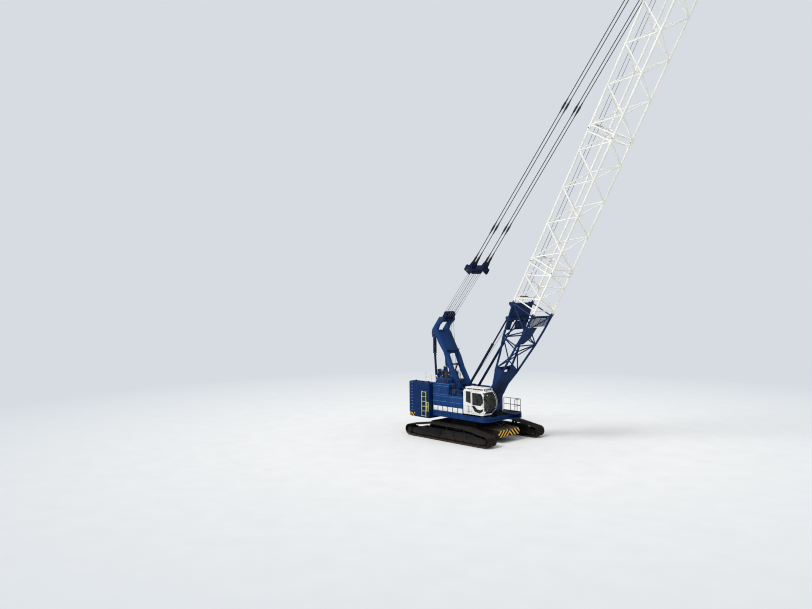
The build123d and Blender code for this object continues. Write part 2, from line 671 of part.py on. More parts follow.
def a_frame():
    """Two bent box legs, joined by plates and the head, with ears for the back-stops."""
    fx, fz = AFRAME_FOOT
    hx, hz = AFRAME_HEAD
    half = AFRAME_THICK / 2
    clear = AFRAME_SIDE - half
    outer = AFRAME_SIDE + half
    leg = polygon((fx - 170, fz + 20), (fx - 150, fz - 110), (fx + 110, fz - 150), (fx + 170, fz + 100),
                  *AFRAME_FRONT, *AFRAME_BACK)
    pieces = both_sides(slab(leg, clear, outer))
    pieces.append(leg_plate())
    pieces.append(slab(polygon(*AFRAME_LEDGE), -outer, outer))
    pieces.append(slab(polygon(*AFRAME_TOP), -clear, clear))
    pieces.append(drum(STRUT_TOP[0], STRUT_TOP[1] + 240, 100, -clear, clear))
    pieces.append(drum(hx, hz, HEAD_PIN, -clear, clear))
    bx, bz = STOP_BASE
    eye = STOP_TUBE / 2 + PLAY
    ear = polygon((bx - 310, bz - 350), (bx - 50, bz - 130), (bx + 80, bz - 60), (bx + 110, bz + 40),
                  (bx + 50, bz + 120), (bx - 80, bz + 140), (bx - 560, bz + 300))
    for y in (STOP_SIDE - eye - 40, STOP_SIDE + eye):
        pieces += both_sides(slab(ear, y, y + 40))
    pieces += both_sides(drum(bx, bz, STOP_PIN, STOP_SIDE - eye - 40, STOP_SIDE + eye + 40))
    frame = join(pieces)
    for end in (-1, 1):
        for near, far in ((clear - 5, AFRAME_SIDE - AFRAME_TONGUE), (AFRAME_SIDE + AFRAME_TONGUE, outer + 5)):
            frame -= box(fx - 420, fx + 420, *sorted((end * near, end * far)), fz - 460, fz + 260)
        y = sorted((end * (AFRAME_SIDE - AFRAME_TONGUE), end * (AFRAME_SIDE + AFRAME_TONGUE)))
        frame -= drum(fx, fz, 60 + FIT, *y)
    return frame


def rear_struts():
    """Two struts from the A-frame down to the rear of the deck, thick above and thin below."""
    x, top = STRUT_TOP
    foot_x, foot_z = STRUT_FOOT
    strut = join([
        Pos(x, AFRAME_SIDE, (STRUT_KNEE + top) / 2) * Cylinder(STRUT_THICK / 2, top - STRUT_KNEE),
        bar((foot_x, AFRAME_SIDE, foot_z), (x, AFRAME_SIDE, STRUT_KNEE + 100), STRUT_THIN, 12),
        box(foot_x - 160, foot_x + 160, AFRAME_SIDE - 100, AFRAME_SIDE + 100, SPINE_TOP, foot_z + 70),
    ])
    return Compound(both_sides(strut))


# Back-stops

def stop_line():
    """Base, boom end, and unit direction of a back-stop at rest."""
    bx, bz = STOP_BASE
    ex, _, ez = on_boom(STOP_ON_BOOM[0], 0, STOP_ON_BOOM[1])
    length = sqrt((ex - bx) ** 2 + (ez - bz) ** 2)
    return bx, bz, ex, ez, (ex - bx) / length, (ez - bz) / length


def stop_tube(side):
    """Lower half: an eye and a tube that the rod slides in."""
    bx, bz, ex, ez, ux, uz = stop_line()
    y = side * STOP_SIDE
    start = Plane(origin=(bx + 120 * ux, y, bz + 120 * uz), z_dir=(ux, 0, uz))
    outer = extrude(start * Circle(STOP_TUBE / 2), amount=STOP_TUBE_LENGTH)
    bore = Plane(origin=(bx + 400 * ux, y, bz + 400 * uz), z_dir=(ux, 0, uz))
    eye = drum(bx, bz, 110, y - STOP_TUBE / 2, y + STOP_TUBE / 2)
    neck = Plane(origin=(bx, y, bz), z_dir=(ux, 0, uz))
    body = join([outer, eye, extrude(neck * Rectangle(150, 150), amount=200)])
    body -= extrude(bore * Circle(STOP_ROD / 2 + FIT), amount=STOP_TUBE_LENGTH)
    return body - drum(bx, bz, STOP_PIN + FIT, y - STOP_TUBE, y + STOP_TUBE)


def stop_rod(side):
    """Upper half: a rod with its eye at the boom."""
    bx, bz, ex, ez, ux, uz = stop_line()
    y = side * STOP_SIDE
    length = sqrt((ex - bx) ** 2 + (ez - bz) ** 2)
    start = 120 + STOP_TUBE_LENGTH - STOP_ROD_HIDDEN
    foot = Plane(origin=(bx + start * ux, y, bz + start * uz), z_dir=(ux, 0, uz))
    rod = extrude(foot * Circle(STOP_ROD / 2), amount=length - start)
    eye = drum(ex, ez, 90, y - 45, y + 45)
    half = STOP_ROD / 2 + GAP - PLAY
    return join([rod, eye, drum(ex, ez, STOP_PIN, y - half, y + half)])


# Boom

def chord_points(station):
    """Four corners of the boom at one station: (s, front, rear, half width)."""
    s, front, rear, half = station
    return [(s, half, front), (s, -half, front), (s, -half, rear), (s, half, rear)]


def lattice(stations, frames):
    """Chords with a zigzag on each face, and cross frames at the stations listed.

    The first and the last stretch of the chords carry no lacing, because the pins are there.
    """
    members = []
    corners = [chord_points(station) for station in stations]
    for here, after in zip(corners, corners[1:]):
        for a, b in zip(here, after):
            members.append(bar(on_boom(*a), on_boom(*b), CHORD, 8))
    for i, (here, after) in enumerate(zip(corners[1:], corners[2:-1])):
        for face in range(4):
            left, right = face, (face + 1) % 4
            if (i + face) % 2:
                left, right = right, left
            members.append(bar(on_boom(*here[left]), on_boom(*after[right]), LACING))
    for i in frames:
        for face in range(4):
            members.append(bar(on_boom(*corners[i][face]), on_boom(*corners[i][(face + 1) % 4]), LACING))
    return members


def straight(s0, length, bays):
    """Stations of a section with parallel chords."""
    step = (length - 2 * PIN_END) / bays
    places = [s0] + [s0 + PIN_END + i * step for i in range(bays + 1)] + [s0 + length]
    return [(s, BOOM_DEPTH / 2, -BOOM_DEPTH / 2, BOOM_WIDTH / 2) for s in places]


def insert(s0, length, bays):
    """A boom section with parallel chords and square collars at its ends."""
    stations = straight(s0, length, bays)
    members = lattice(stations, (1, bays + 1))
    for at, way in ((stations[0], 1), (stations[-1], -1)):
        members += pin_collars(at, way)
    members += rope_guide(stations[1][0])
    return join(members)


def rope_guide(s):
    """Roller that carries the hoist ropes over the rear of a cross frame, between two ears."""
    t = -BOOM_DEPTH / 2
    ear = polygon((s - 70, t + 20), (s + 70, t + 20), (s + 40, t - 140), (s - 40, t - 140))
    x, _, z = on_boom(s, 0, t - 90)
    return both_sides(boom_slab(ear, 370, 385)) + [drum(x, z, 60, -375, 375)]


def pin_collars(station, way):
    """Thick chord ends, where two sections are pinned together."""
    collars = []
    for s, y, t in chord_points(station):
        collars.append(bar(on_boom(s, y, t), on_boom(s + way * COLLAR, y, t), COLLAR_ACROSS, 8))
    return collars


FOOT_STATIONS = (
    # s, front, rear, half width
    (3350.0, 360.0, -190.0, 815.0),
    (3600.0, 390.0, -215.0, 840.0),
    (4700.0, 530.0, -330.0, 950.0),
    (5900.0, 690.0, -560.0, 1050.0),
    (7100.0, 830.0, -740.0, 1050.0),
    (FOOT_LENGTH - PIN_END, BOOM_DEPTH / 2, -BOOM_DEPTH / 2, BOOM_WIDTH / 2),
    (FOOT_LENGTH, BOOM_DEPTH / 2, -BOOM_DEPTH / 2, BOOM_WIDTH / 2),
)


LEG_SECTIONS = (
    # s, inner y, outer y, rear t, front t
    (0.0, LEG_INNER, LEG_OUTER, -130.0, 130.0),
    (2400.0, LEG_INNER - 40, LEG_OUTER, -60.0, 250.0),
    (3650.0, 620.0, 905.0, -280.0, 460.0),
)
LEG_PLATES = (
    # half width, then the (s, t) corners of a cross plate between the legs
    (650.0, (2650, 240), (3600, 380), (3600, 440), (2650, 300)),
    (700.0, (3350, -260), (3600, -290), (3600, -230), (3350, -200)),
)


def boom_foot():
    """Two box legs that grow out of the foot pins into four chords."""
    members = lattice(FOOT_STATIONS, (1, 3, 5))
    members += pin_collars(FOOT_STATIONS[-1], -1)
    for side in (-1, 1):
        rectangles = []
        for s, inner, outer, rear, front in LEG_SECTIONS:
            corners = [(s, side * inner, rear), (s, side * outer, rear), (s, side * outer, front),
                       (s, side * inner, front)]
            rectangles.append(make_face(polygon(*[on_boom(*c) for c in corners])))
        members.append(loft(rectangles, ruled=True))
        y = sorted((side * LEG_INNER, side * LEG_OUTER))
        members.append(drum(FOOT_X, FOOT_Z, FOOT_BOSS, *y))
    members += [boom_slab(polygon(*corners), -half, half) for half, *corners in LEG_PLATES]
    stop_s, stop_t = STOP_ON_BOOM
    members.append(bar(on_boom(stop_s + 200, -1050, -725), on_boom(stop_s + 200, 1050, -725), 230, 8))
    ear = polygon((stop_s - 30, -640), (stop_s + 420, -640), (stop_s + 120, stop_t - 60),
                  (stop_s, stop_t - 120), (stop_s - 110, stop_t - 50))
    for y in (STOP_SIDE - STOP_ROD / 2 - GAP - 30, STOP_SIDE + STOP_ROD / 2 + GAP):
        members += both_sides(boom_slab(ear, y, y + 30))
    end, rear = FOOT_LENGTH, -BOOM_DEPTH / 2
    lug = polygon((end - 520, rear + 40), (end - 160, rear + 40), (end - 230, rear - 250),
                  (end - 340, rear - 290), (end - 420, rear - 220))
    for y in (BOOM_WIDTH / 2 - 50, BOOM_WIDTH / 2 + 15):
        members += both_sides(boom_slab(lug, y, y + 35))
    foot = join(members)
    for side in (-1, 1):
        y = sorted((side * (LEG_INNER - 60), side * (LEG_OUTER + 10)))
        foot -= drum(FOOT_X, FOOT_Z, FOOT_PIN / 2 + FIT, *y)
    return foot


def boom_head():
    """Tapered lattice that ends in two side plates for the sheaves and the stays."""
    s0 = HEAD_START
    end = s0 + HEAD_TAPER
    stations = (
        (s0, BOOM_DEPTH / 2, -BOOM_DEPTH / 2, BOOM_WIDTH / 2),
        (s0 + PIN_END, BOOM_DEPTH / 2, -BOOM_DEPTH / 2, BOOM_WIDTH / 2),
        (s0 + 1850, 770.0, -830.0, 940.0),
        (s0 + 3500, 610.0, -730.0, 830.0),
        (s0 + 5150, 440.0, -620.0, 715.0),
        (end - 180, 260.0, -500.0, 600.0),
        (end, 250.0, -490.0, 595.0),
    )
    members = lattice(stations, (1, 5))
    members += pin_collars(stations[0], 1)
    sheave_s, sheave_t = HEAD_SHEAVE
    anchor_s, anchor_t = ANCHOR
    cheek = polygon(
        (end - 250, -560), (anchor_s - 260, -640), (anchor_s - 110, anchor_t - 110),
        (anchor_s + 110, anchor_t - 110), (sheave_s + 300, -200), (sheave_s + 300, sheave_t - 60),
        (sheave_s + 160, sheave_t + 130), (sheave_s - 120, sheave_t + 150), (end + 200, 330),
        (end - 250, 330),
    )
    members += both_sides(boom_slab(cheek, CHEEK_IN, CHEEK_OUT))
    back = polygon((end - 60, -490), (end, -490), (end, 250), (end - 60, 250))
    members.append(boom_slab(back, -CHEEK_IN, CHEEK_IN))
    members.append(bar(on_boom(anchor_s, -960, anchor_t), on_boom(anchor_s, 960, anchor_t), 110, 8))
    head = join(members)
    x, _, z = on_boom(*HEAD_BORE_AT)
    return head - drum(x, z, HEAD_BORE / 2, -CHEEK_OUT - 10, CHEEK_OUT + 10)


def head_sheaves():
    """Hoist sheaves on one shaft between the side plates of the boom head."""
    x, _, z = on_boom(HEAD_SHEAVE[0], 0, HEAD_SHEAVE[1])
    pieces = [drum(x, z, 70, -CHEEK_IN, CHEEK_IN)]
    for y in FALLS:
        pieces.append(drum(x, z, SHEAVE_RADIUS, y - SHEAVE_WIDTH / 2, y + SHEAVE_WIDTH / 2))
    return join(pieces)


# Stays

def stay_frame():
    """Anchor on the boom head, bridle pin, A-frame pin and the stays' direction."""
    ax, _, az = on_boom(ANCHOR[0], 0, ANCHOR[1])
    bx, bz = BRIDLE
    length = sqrt((ax - bx) ** 2 + (az - bz) ** 2)
    return ax, az, bx, bz, (ax - bx) / length, (az - bz) / length, length


def pendants():
    """Four stay lines, each of four links with a joint plate between them."""
    ax, az, bx, bz, ux, uz, length = stay_frame()
    lines = []
    for y in PENDANT_SIDES + tuple(-side for side in PENDANT_SIDES):
        pieces = [bar((bx, y, bz), (ax - 90 * ux, y, az - 90 * uz), PENDANT)]
        for at in PENDANT_JOINTS:
            pieces.append(bar((bx + (at - 190) * ux, y, bz + (at - 190) * uz),
                              (bx + (at + 190) * ux, y, bz + (at + 190) * uz), 2.1 * PENDANT))
        link = polygon(*[spreader_place(a, c) for a, c in PENDANT_LINK])
        pieces.append(slab(link, y - PENDANT / 2, y + PENDANT / 2))
        half = PENDANT / 2 + GAP - PLAY
        pieces.append(drum(bx, bz, 50, y - half, y + half))
        pieces.append(drum(ax, az, 110, y - PENDANT / 2, y + PENDANT / 2))
        lines.append(join(pieces) - drum(ax, az, 55 + FIT, y - 40, y + 40))
    return Compound(lines)


def spreader_place(along, across):
    """A point from the bridle pin: along the stays and square to them."""
    ax, az, bx, bz, ux, uz, length = stay_frame()
    return (bx + along * ux - across * uz, bz + along * uz + across * ux)


def spreader():
    """Cross beam between the luffing ropes and the pendants, with its ears and sheaves."""
    beam, core, ear = [polygon(*[spreader_place(a, c) for a, c in outline])
                       for outline in (SPREADER_END, SPREADER_CORE, SPREADER_EAR)]
    inner = SPREADER_HALF - 40
    pieces = both_sides(slab(beam, inner, SPREADER_HALF))
    pieces.append(slab(core, -inner, inner))
    for y in PENDANT_SIDES:
        for edge in (y - PENDANT / 2 - GAP - 30, y + PENDANT / 2 + GAP):
            pieces += both_sides(slab(ear, edge, edge + 30))
    x, z = spreader_place(SPREADER_AXLE, 0)
    pieces.append(drum(x, z, 55, -inner, inner))
    for y in TACKLE_SHEAVES:
        pieces.append(drum(x, z, TACKLE_RADIUS, y - 60, y + 60))
    return join(pieces)


def cradle():
    """Sheave cradle that swings on the A-frame head."""
    hx, hz = AFRAME_HEAD
    bx, bz = BRIDLE
    length = sqrt((bx - hx) ** 2 + (bz - hz) ** 2)
    ux, uz = (bx - hx) / length, (bz - hz) / length

    def place(along, across):
        return (hx + along * ux - across * uz, hz + along * uz + across * ux)

    cheek = polygon(*[place(a, c) for a, c in CRADLE_CHEEK])
    pieces = [slab(cheek, y - 15, y + 15) for y in CRADLE_PLATES]
    half = CRADLE_PLATES[-1] + 15
    x, z = place(CRADLE_AXLE, 0)
    pieces.append(drum(x, z, 50, -half, half))
    for y in TACKLE_SHEAVES:
        pieces.append(drum(x, z, TACKLE_RADIUS, y - 60, y + 60))
    return join(pieces) - drum(hx, hz, HEAD_PIN + FIT, -half - 5, half + 5)


# Hook

def hook_top():
    """The head sheaves' axis, which the falls hang from."""
    x, _, z = on_boom(HEAD_SHEAVE[0], 0, HEAD_SHEAVE[1])
    return x, z


def hoist_falls():
    """Rope parts between the boom head and the hook block."""
    x, z = hook_top()
    parts = []
    reach = SHEAVE_RADIUS + ROPE / 2 + FIT
    for y in FALLS:
        for dx in (-reach, reach):
            parts.append(bar((x + dx, y, z - HOOK_DROP), (x + dx, y, z), ROPE, 6))
    return Compound(parts)


def hook_block():
    """Sheaves between two cheek plates, over the crosshead of the hook."""
    x, top = hook_top()
    z = top - HOOK_DROP
    cheek = polygon(*[(x + dx, z + dz) for dx, dz in BLOCK_CHEEK])
    pieces = both_sides(slab(cheek, BLOCK_INNER, BLOCK_OUTER))
    pieces.append(drum(x, z, 60, -BLOCK_INNER, BLOCK_INNER))
    for y in FALLS:
        pieces.append(drum(x, z, SHEAVE_RADIUS, y - SHEAVE_WIDTH / 2, y + SHEAVE_WIDTH / 2))
    half, low, high = CROSSHEAD
    pieces.append(box(x - half, x + half, -BLOCK_INNER, BLOCK_INNER, z + low, z + high))
    return join(pieces)


def hook():
    """Forged single hook with its shank."""
    x, top = hook_top()
    z = top - HOOK_DROP + CROSSHEAD[1] - FIT
    shank = Pos(x, 0, z - 110) * Cylinder(HOOK_SHANK, 220)
    centre = z - HOOK_REACH
    wide = HOOK_HALF + 5
    ring = drum(x, centre, HOOK_RADIUS, -HOOK_HALF, HOOK_HALF) - drum(x, centre, HOOK_SEAT, -wide, wide)
    mouth = slab(polygon((x - 60, centre + 400), (x - 420, centre + 400), (x - 420, centre - 30),
                         (x - 60, centre + 30)), -wide, wide)
    neck = box(x - HOOK_HALF, x + HOOK_SEAT, -HOOK_HALF, HOOK_HALF, centre + 200, z - 150)
    return join([ring - mouth, neck, shank])


# Cab

def cab_outline(inset):
    """The cab's side view, set in by the wall's thickness."""
    rear, low, high = CAB_REAR + inset, CAB_FLOOR + inset, CAB_ROOF - inset
    return [
        Line((rear, low), (2330 - 0.4 * inset, low)),
        Line((2330 - 0.4 * inset, low), (2730 - inset, 2280)),
        ThreePointArc((2730 - inset, 2280), (2890 - inset, 2790), (2700 - inset, 3330)),
        Line((2700 - inset, 3330), (2440 - 0.6 * inset, high)),
        Line((2440 - 0.6 * inset, high), (rear + 120, high)),
        Line((rear + 120, high), (rear, high - 120)),
        Line((rear, high - 120), (rear, low)),
    ]


def outline_solid(edges, y0, y1):
    """Edges in the X-Z plane, made solid from y0 to y1."""
    return slab(Wire(edges), y0, y1)


def door_outline(grow):
    """Door's side view, grown by the gap for its opening."""
    return polygon(
        (DOOR_REAR - grow, DOOR_SILL - grow), (2260 + grow, DOOR_SILL - grow),
        (DOOR_FRONT + grow, 2180 - grow), (DOOR_FRONT + grow, 3250 + grow),
        (2250 + grow, DOOR_TOP + grow), (DOOR_REAR - grow, DOOR_TOP + grow),
    )


DOOR_WINDOW = ((1410, 2560), (2140, 2560), (2330, 2760), (2330, 3160), (2180, 3380), (1410, 3380))
LOWER_WINDOW = ((1400, 2460), (1640, 2140), (2080, 2050), (2330, 2230), (2340, 2330), (2140, 2230),
                (1830, 2260), (1560, 2490))
SLIT_WINDOW = ((820, 2740), (1230, 2650), (1230, 3450), (820, 3450))
SCREEN_PANES = (
    # lower edge, upper edge of the windscreen's openings
    (2010.0, 2250.0),
    (2310.0, 3480.0),
)
INNER_WINDOW = ((760, 2600), (2500, 2600), (2560, 2800), (2500, 3200), (2300, 3440), (760, 3440))


def hinge_half(z, way):
    """One knuckle and its strap: way is 1 on the door, above, and -1 on the cab, below."""
    low, high = sorted((z + way * PLAY / 2, z + way * HINGE_TALL))
    axis_x, axis_y = DOOR_REAR - GAP / 2, CAB_RIGHT - HINGE_RADIUS
    knuckle = Pos(axis_x, axis_y, (low + high) / 2) * Cylinder(HINGE_RADIUS, high - low)
    near, far = sorted((axis_x, axis_x + way * 80))
    return join([knuckle, box(near, far, CAB_RIGHT - HINGE_RADIUS, CAB_RIGHT - 4, low, high),
                 box(*sorted((axis_x + way * 20, axis_x + way * 80)), CAB_RIGHT - 5, CAB_RIGHT, low, high)])


def cab_shell():
    """Hollow cab with its door opening and windows cut through."""
    shell = outline_solid(cab_outline(0), CAB_RIGHT, CAB_LEFT)
    shell -= outline_solid(cab_outline(CAB_WALL), CAB_RIGHT + CAB_WALL, CAB_LEFT - CAB_WALL)
    out = 20.0
    shell -= slab(door_outline(GAP), CAB_RIGHT - out, CAB_RIGHT + CAB_WALL + 1)
    shell -= slab(polygon(*SLIT_WINDOW), CAB_RIGHT - out, CAB_RIGHT + CAB_WALL + 1)
    shell -= slab(polygon(*INNER_WINDOW), CAB_LEFT - CAB_WALL - 1, CAB_LEFT + out)
    for low, high in SCREEN_PANES:
        shell -= box(2370, 3000, CAB_RIGHT + 110, CAB_LEFT - 110, low, high)
    shell -= box(CAB_REAR - out, CAB_REAR + CAB_WALL + 1, CAB_RIGHT + 160, CAB_LEFT - 160, 2800, 3380)
    shell -= box(1100, 1900, CAB_RIGHT + 180, CAB_LEFT - 180, CAB_ROOF - CAB_WALL - 1, CAB_ROOF + out)
    return join([shell] + [hinge_half(z, -1) for z in HINGE_Z])


def cab_glass():
    """Panes in the windscreen, the side, rear and roof windows."""
    mid = 0.5 * CAB_WALL
    band = outline_solid(cab_outline(mid - GLASS / 2), CAB_RIGHT + 110, CAB_LEFT - 110)
    band -= outline_solid(cab_outline(mid + GLASS / 2), CAB_RIGHT + 90, CAB_LEFT - 90)
    screen = [band & box(2370, 3000, CAB_RIGHT + 110, CAB_LEFT - 110, low, high) for low, high in SCREEN_PANES]
    right = CAB_RIGHT + mid
    left = CAB_LEFT - mid
    rear = CAB_REAR + mid
    roof = CAB_ROOF - mid
    panes = [
        slab(polygon(*SLIT_WINDOW), right - GLASS / 2, right + GLASS / 2),
        slab(polygon(*INNER_WINDOW), left - GLASS / 2, left + GLASS / 2),
        box(rear - GLASS / 2, rear + GLASS / 2, CAB_RIGHT + 160, CAB_LEFT - 160, 2800, 3380),
        box(1100, 1900, CAB_RIGHT + 180, CAB_LEFT - 180, roof - GLASS / 2, roof + GLASS / 2),
    ]
    return Compound([pane for part in screen for pane in part.solids()] + panes)


def cab_door():
    """Door leaf, hinged at its rear edge."""
    leaf = slab(door_outline(0), CAB_RIGHT, CAB_RIGHT + CAB_WALL)
    leaf -= slab(polygon(*DOOR_WINDOW), CAB_RIGHT - 20, CAB_RIGHT + CAB_WALL + 20)
    leaf -= slab(polygon(*LOWER_WINDOW), CAB_RIGHT - 20, CAB_RIGHT + CAB_WALL + 20)
    return join([leaf] + [hinge_half(z, 1) for z in HINGE_Z])


def door_glass():
    """The door's two panes."""
    middle = CAB_RIGHT + 0.5 * CAB_WALL
    return Compound([slab(polygon(*pane), middle - GLASS / 2, middle + GLASS / 2)
                     for pane in (DOOR_WINDOW, LOWER_WINDOW)])


def cab_mount():
    """Blocks that the cab stands on."""
    right, left = CAB_RIGHT + 60, CAB_LEFT - 160
    seats = (
        # x, y, height of what carries the block
        (650.0, right, DECK_TOP),
        (650.0, left, SPINE_TOP),
        (2150.0, right, DECK_TOP),
        (2150.0, left, WELL_TOP),
    )
    return Compound([box(x, x + 160, y, y + 100, z, CAB_FLOOR) for x, y, z in seats])


def roof_guard():
    """Guard plate on four pads over the cab roof."""
    plate = box(CAB_REAR + 140, 2420, CAB_RIGHT + 60, CAB_LEFT - 60, CAB_ROOF + 90, CAB_ROOF + 140)
    pads = []
    for x in (CAB_REAR + 200, 1260, 2280):
        for y in (CAB_RIGHT + 90, CAB_LEFT - 150):
            pads.append(box(x, x + 80, y, y + 60, CAB_ROOF, CAB_ROOF + 90))
    for y in (CAB_RIGHT + 140, CAB_LEFT - 140):
        pads.append(box(2400, 2490, y - 80, y + 80, CAB_ROOF + 30, CAB_ROOF + 110))
    return join([plate] + pads)


def seat():
    """Driver's seat on its base."""
    y0, y1 = CAB_RIGHT + 230, CAB_LEFT - 230
    floor = CAB_FLOOR + CAB_WALL
    cushion = slab(polygon((900, floor + 380), (1450, floor + 400), (1480, floor + 460),
                           (1440, floor + 500), (1050, floor + 480), (900, floor + 1150),
                           (800, floor + 1150), (860, floor + 420)), y0, y1)
    base = box(950, 1350, y0 + 80, y1 - 80, floor, floor + 384)
    return join([cushion, base])


def console():
    """Control console ahead of the seat."""
    floor = CAB_FLOOR + CAB_WALL
    return slab(polygon((1950, floor), (2200, floor), (2420, floor + 420), (2260, floor + 560),
                        (2080, floor + 420)), CAB_RIGHT + 250, CAB_LEFT - 250)


# Access

def handrails():
    """Railing round the left walkway."""
    pipe = 44.0
    top, middle = 2750.0, 2300.0
    y = DECK_HALF - 60
    places = (1400.0, 2000.0, 2600.0, DECK_FRONT_LEFT - 60)
    pieces = []
    for x in places:
        pieces.append(bar((x, y, DECK_TOP), (x, y, top), pipe))
    for z in (middle, top):
        pieces.append(bar((places[0], y, z), (places[-1] + pipe / 2, y, z), pipe))
        pieces.append(bar((places[-1], y, z), (places[-1], 1060, z), pipe))
    pieces.append(bar((places[-1], 1060, DECK_TOP), (places[-1], 1060, top), pipe))
    return join(pieces)


LADDERS = (
    # rear rail, front rail, foot, top, rungs
    (-3200.0, -2770.0, 1300.0, 3150.0, 6),
    (-2700.0, -2530.0, 1700.0, 2400.0, 3),
)


def ladder():
    """A ladder and a short step frame, clamped to the right slabs."""
    pipe = 50.0
    y = -SLAB_HALF - 70
    pieces = []
    for x0, x1, low, high, rungs in LADDERS:
        pieces += [bar((x, y, low), (x, y, high), pipe) for x in (x0, x1)]
        step = (high - low - 2 * pipe) / (rungs - 1)
        for i in range(rungs):
            z = low + pipe + i * step
            pieces.append(bar((x0, y, z), (x1, y, z), 0.72 * pipe))
        for z in (low + 440, high - 200):
            pieces.append(box(x0, x1, y, -SLAB_HALF, z - 20, z + 20))
    return Compound([join(pieces)])


for name, side in (("right", -1), ("left", 1)):
    save(f"track_{name}", track_loop(side))
    save(f"crawler_frame_{name}", crawler_frame(side))
    save(f"wheels_{name}", wheels(side))
    save(f"counterweight_stack_{name}", counterweight_stack(side))
    save(f"backstop_tube_{name}", stop_tube(side))
    save(f"backstop_rod_{name}", stop_rod(side))
save("carbody", carbody())
save("ballast_front", lower_ballast(1))
save("ballast_rear", lower_ballast(-1))
save("slewing_ring", slewing_ring())
save("upper_frame", upper_frame())
save("boom_foot_pins", foot_pins())
for name, side, front, low, step, high in HOUSES:
    body = housing(side, front, low, step, high)
    save(f"housing_{name}", body if side > 0 else join([body - louvres()] + roof_gear(low, high)))
save("engine", engine())
for name, x, radius in WINCHES:
    save(f"winch_{name}", winch(x, radius))
save("counterweight_base", counterweight_base())
save("a_frame", a_frame())
save("a_frame_struts", rear_struts())
save("luffing_cradle", cradle())
save("spreader_bar", spreader())
save("stay_lines", pendants())
save("boom_foot", boom_foot())
save("boom_insert_3m", insert(FOOT_LENGTH, INSERT_SHORT, BAYS_SHORT))
save("boom_insert_9m_lower", insert(FOOT_LENGTH + INSERT_SHORT, INSERT_LONG, BAYS_LONG))
save("boom_insert_9m_upper", insert(FOOT_LENGTH + INSERT_SHORT + INSERT_LONG, INSERT_LONG, BAYS_LONG))
save("boom_head", boom_head())
save("head_sheaves", head_sheaves())
save("hoist_falls", hoist_falls())
save("hook_block", hook_block())
save("hook", hook())
save("cab_shell", cab_shell())
save("cab_glass", cab_glass())
save("cab_door", cab_door())
save("door_glass", door_glass())
save("cab_mounts", cab_mount())
save("roof_guard", roof_guard())
save("seat", seat())
save("console", console())
save("handrails", handrails())
save("ladder", ladder())
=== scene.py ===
import bpy
import bmesh
from math import atan2, cos, hypot, pi, radians, sin, sqrt
from mathutils import Matrix, Vector


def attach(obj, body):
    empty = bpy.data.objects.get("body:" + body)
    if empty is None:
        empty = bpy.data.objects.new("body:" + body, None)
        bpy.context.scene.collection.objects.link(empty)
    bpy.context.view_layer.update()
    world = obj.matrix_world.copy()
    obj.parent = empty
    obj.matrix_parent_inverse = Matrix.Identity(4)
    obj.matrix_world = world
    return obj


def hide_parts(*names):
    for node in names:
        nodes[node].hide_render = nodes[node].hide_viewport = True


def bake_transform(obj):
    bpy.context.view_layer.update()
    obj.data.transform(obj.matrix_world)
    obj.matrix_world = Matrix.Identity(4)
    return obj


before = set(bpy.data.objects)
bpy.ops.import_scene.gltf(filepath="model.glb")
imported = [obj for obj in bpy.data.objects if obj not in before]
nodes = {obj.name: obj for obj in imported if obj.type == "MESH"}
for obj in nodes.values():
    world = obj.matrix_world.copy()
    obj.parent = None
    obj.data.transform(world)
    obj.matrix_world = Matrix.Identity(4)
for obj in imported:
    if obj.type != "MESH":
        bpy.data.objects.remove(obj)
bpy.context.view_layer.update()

# Yard. A pale level floor under an overcast sky: one wide soft sun from the camera's left and
# the sky itself. The floor fades into the background, and keeps the crane's shadow.


def add(tree, kind, inputs=None, **settings):
    """One shader node; each input is a plain value or another node's output."""
    made = tree.nodes.new(kind)
    for key, value in settings.items():
        setattr(made, key, value)
    for key, value in (inputs or {}).items():
        if isinstance(value, bpy.types.NodeSocket):
            tree.links.new(value, made.inputs[key])
        else:
            made.inputs[key].default_value = value
    return made


def calc(tree, operation, a, b=0.5):
    """Arithmetic on two values."""
    return add(tree, "ShaderNodeMath", {0: a, 1: b}, operation=operation).outputs[0]


def remap(tree, value, low, high, start=0.0, end=1.0):
    """A value moved from one range to another and held there."""
    made = add(tree, "ShaderNodeMapRange", {0: value, 1: low, 2: high, 3: start, 4: end})
    return made.outputs[0]


def mix(tree, share, a, b, way="MIX"):
    """Two colours, mixed by a share."""
    made = add(tree, "ShaderNodeMix", {0: share, 6: a, 7: b}, data_type="RGBA", blend_type=way)
    return made.outputs[2]


def rgb(red, green, blue):
    """A colour as a screen shows it, from 0 to 255, made linear."""
    linear = [((v / 255 + 0.055) / 1.055) ** 2.4 if v > 10 else v / 255 / 12.92
              for v in (red, green, blue)]
    return (*linear, 1.0)


def new_material(name):
    """An empty material with its output, its tree and its surface socket."""
    made = bpy.data.materials.new(name)
    made.use_nodes = True
    made.node_tree.nodes.clear()
    out = made.node_tree.nodes.new("ShaderNodeOutputMaterial")
    return made, made.node_tree, out.inputs["Surface"]


BACKDROP = rgb(214, 220, 226)
FLOOR_HALF = 400.0
FLOOR_FADES = (14.0, 46.0)
yard_ground, tree, surface = new_material("yard_ground")
place = add(tree, "ShaderNodeTexCoord").outputs["Object"]
grain = add(tree, "ShaderNodeTexNoise", {"Vector": place, "Scale": 0.7, "Detail": 6.0}).outputs["Fac"]
tone = mix(tree, grain, rgb(226, 226, 224), rgb(238, 238, 236))
path = add(tree, "ShaderNodeLightPath")
tone = mix(tree, path.outputs["Is Glossy Ray"], tone, rgb(96, 98, 102))
lit = add(tree, "ShaderNodeBsdfDiffuse", {"Color": tone}).outputs[0]
away = add(tree, "ShaderNodeVectorMath", {0: place}, operation="LENGTH").outputs["Value"]
far = remap(tree, away, *FLOOR_FADES)
looks = calc(tree, "MAXIMUM", path.outputs["Is Camera Ray"], path.outputs["Is Transmission Ray"])
seen = calc(tree, "MULTIPLY", far, looks)
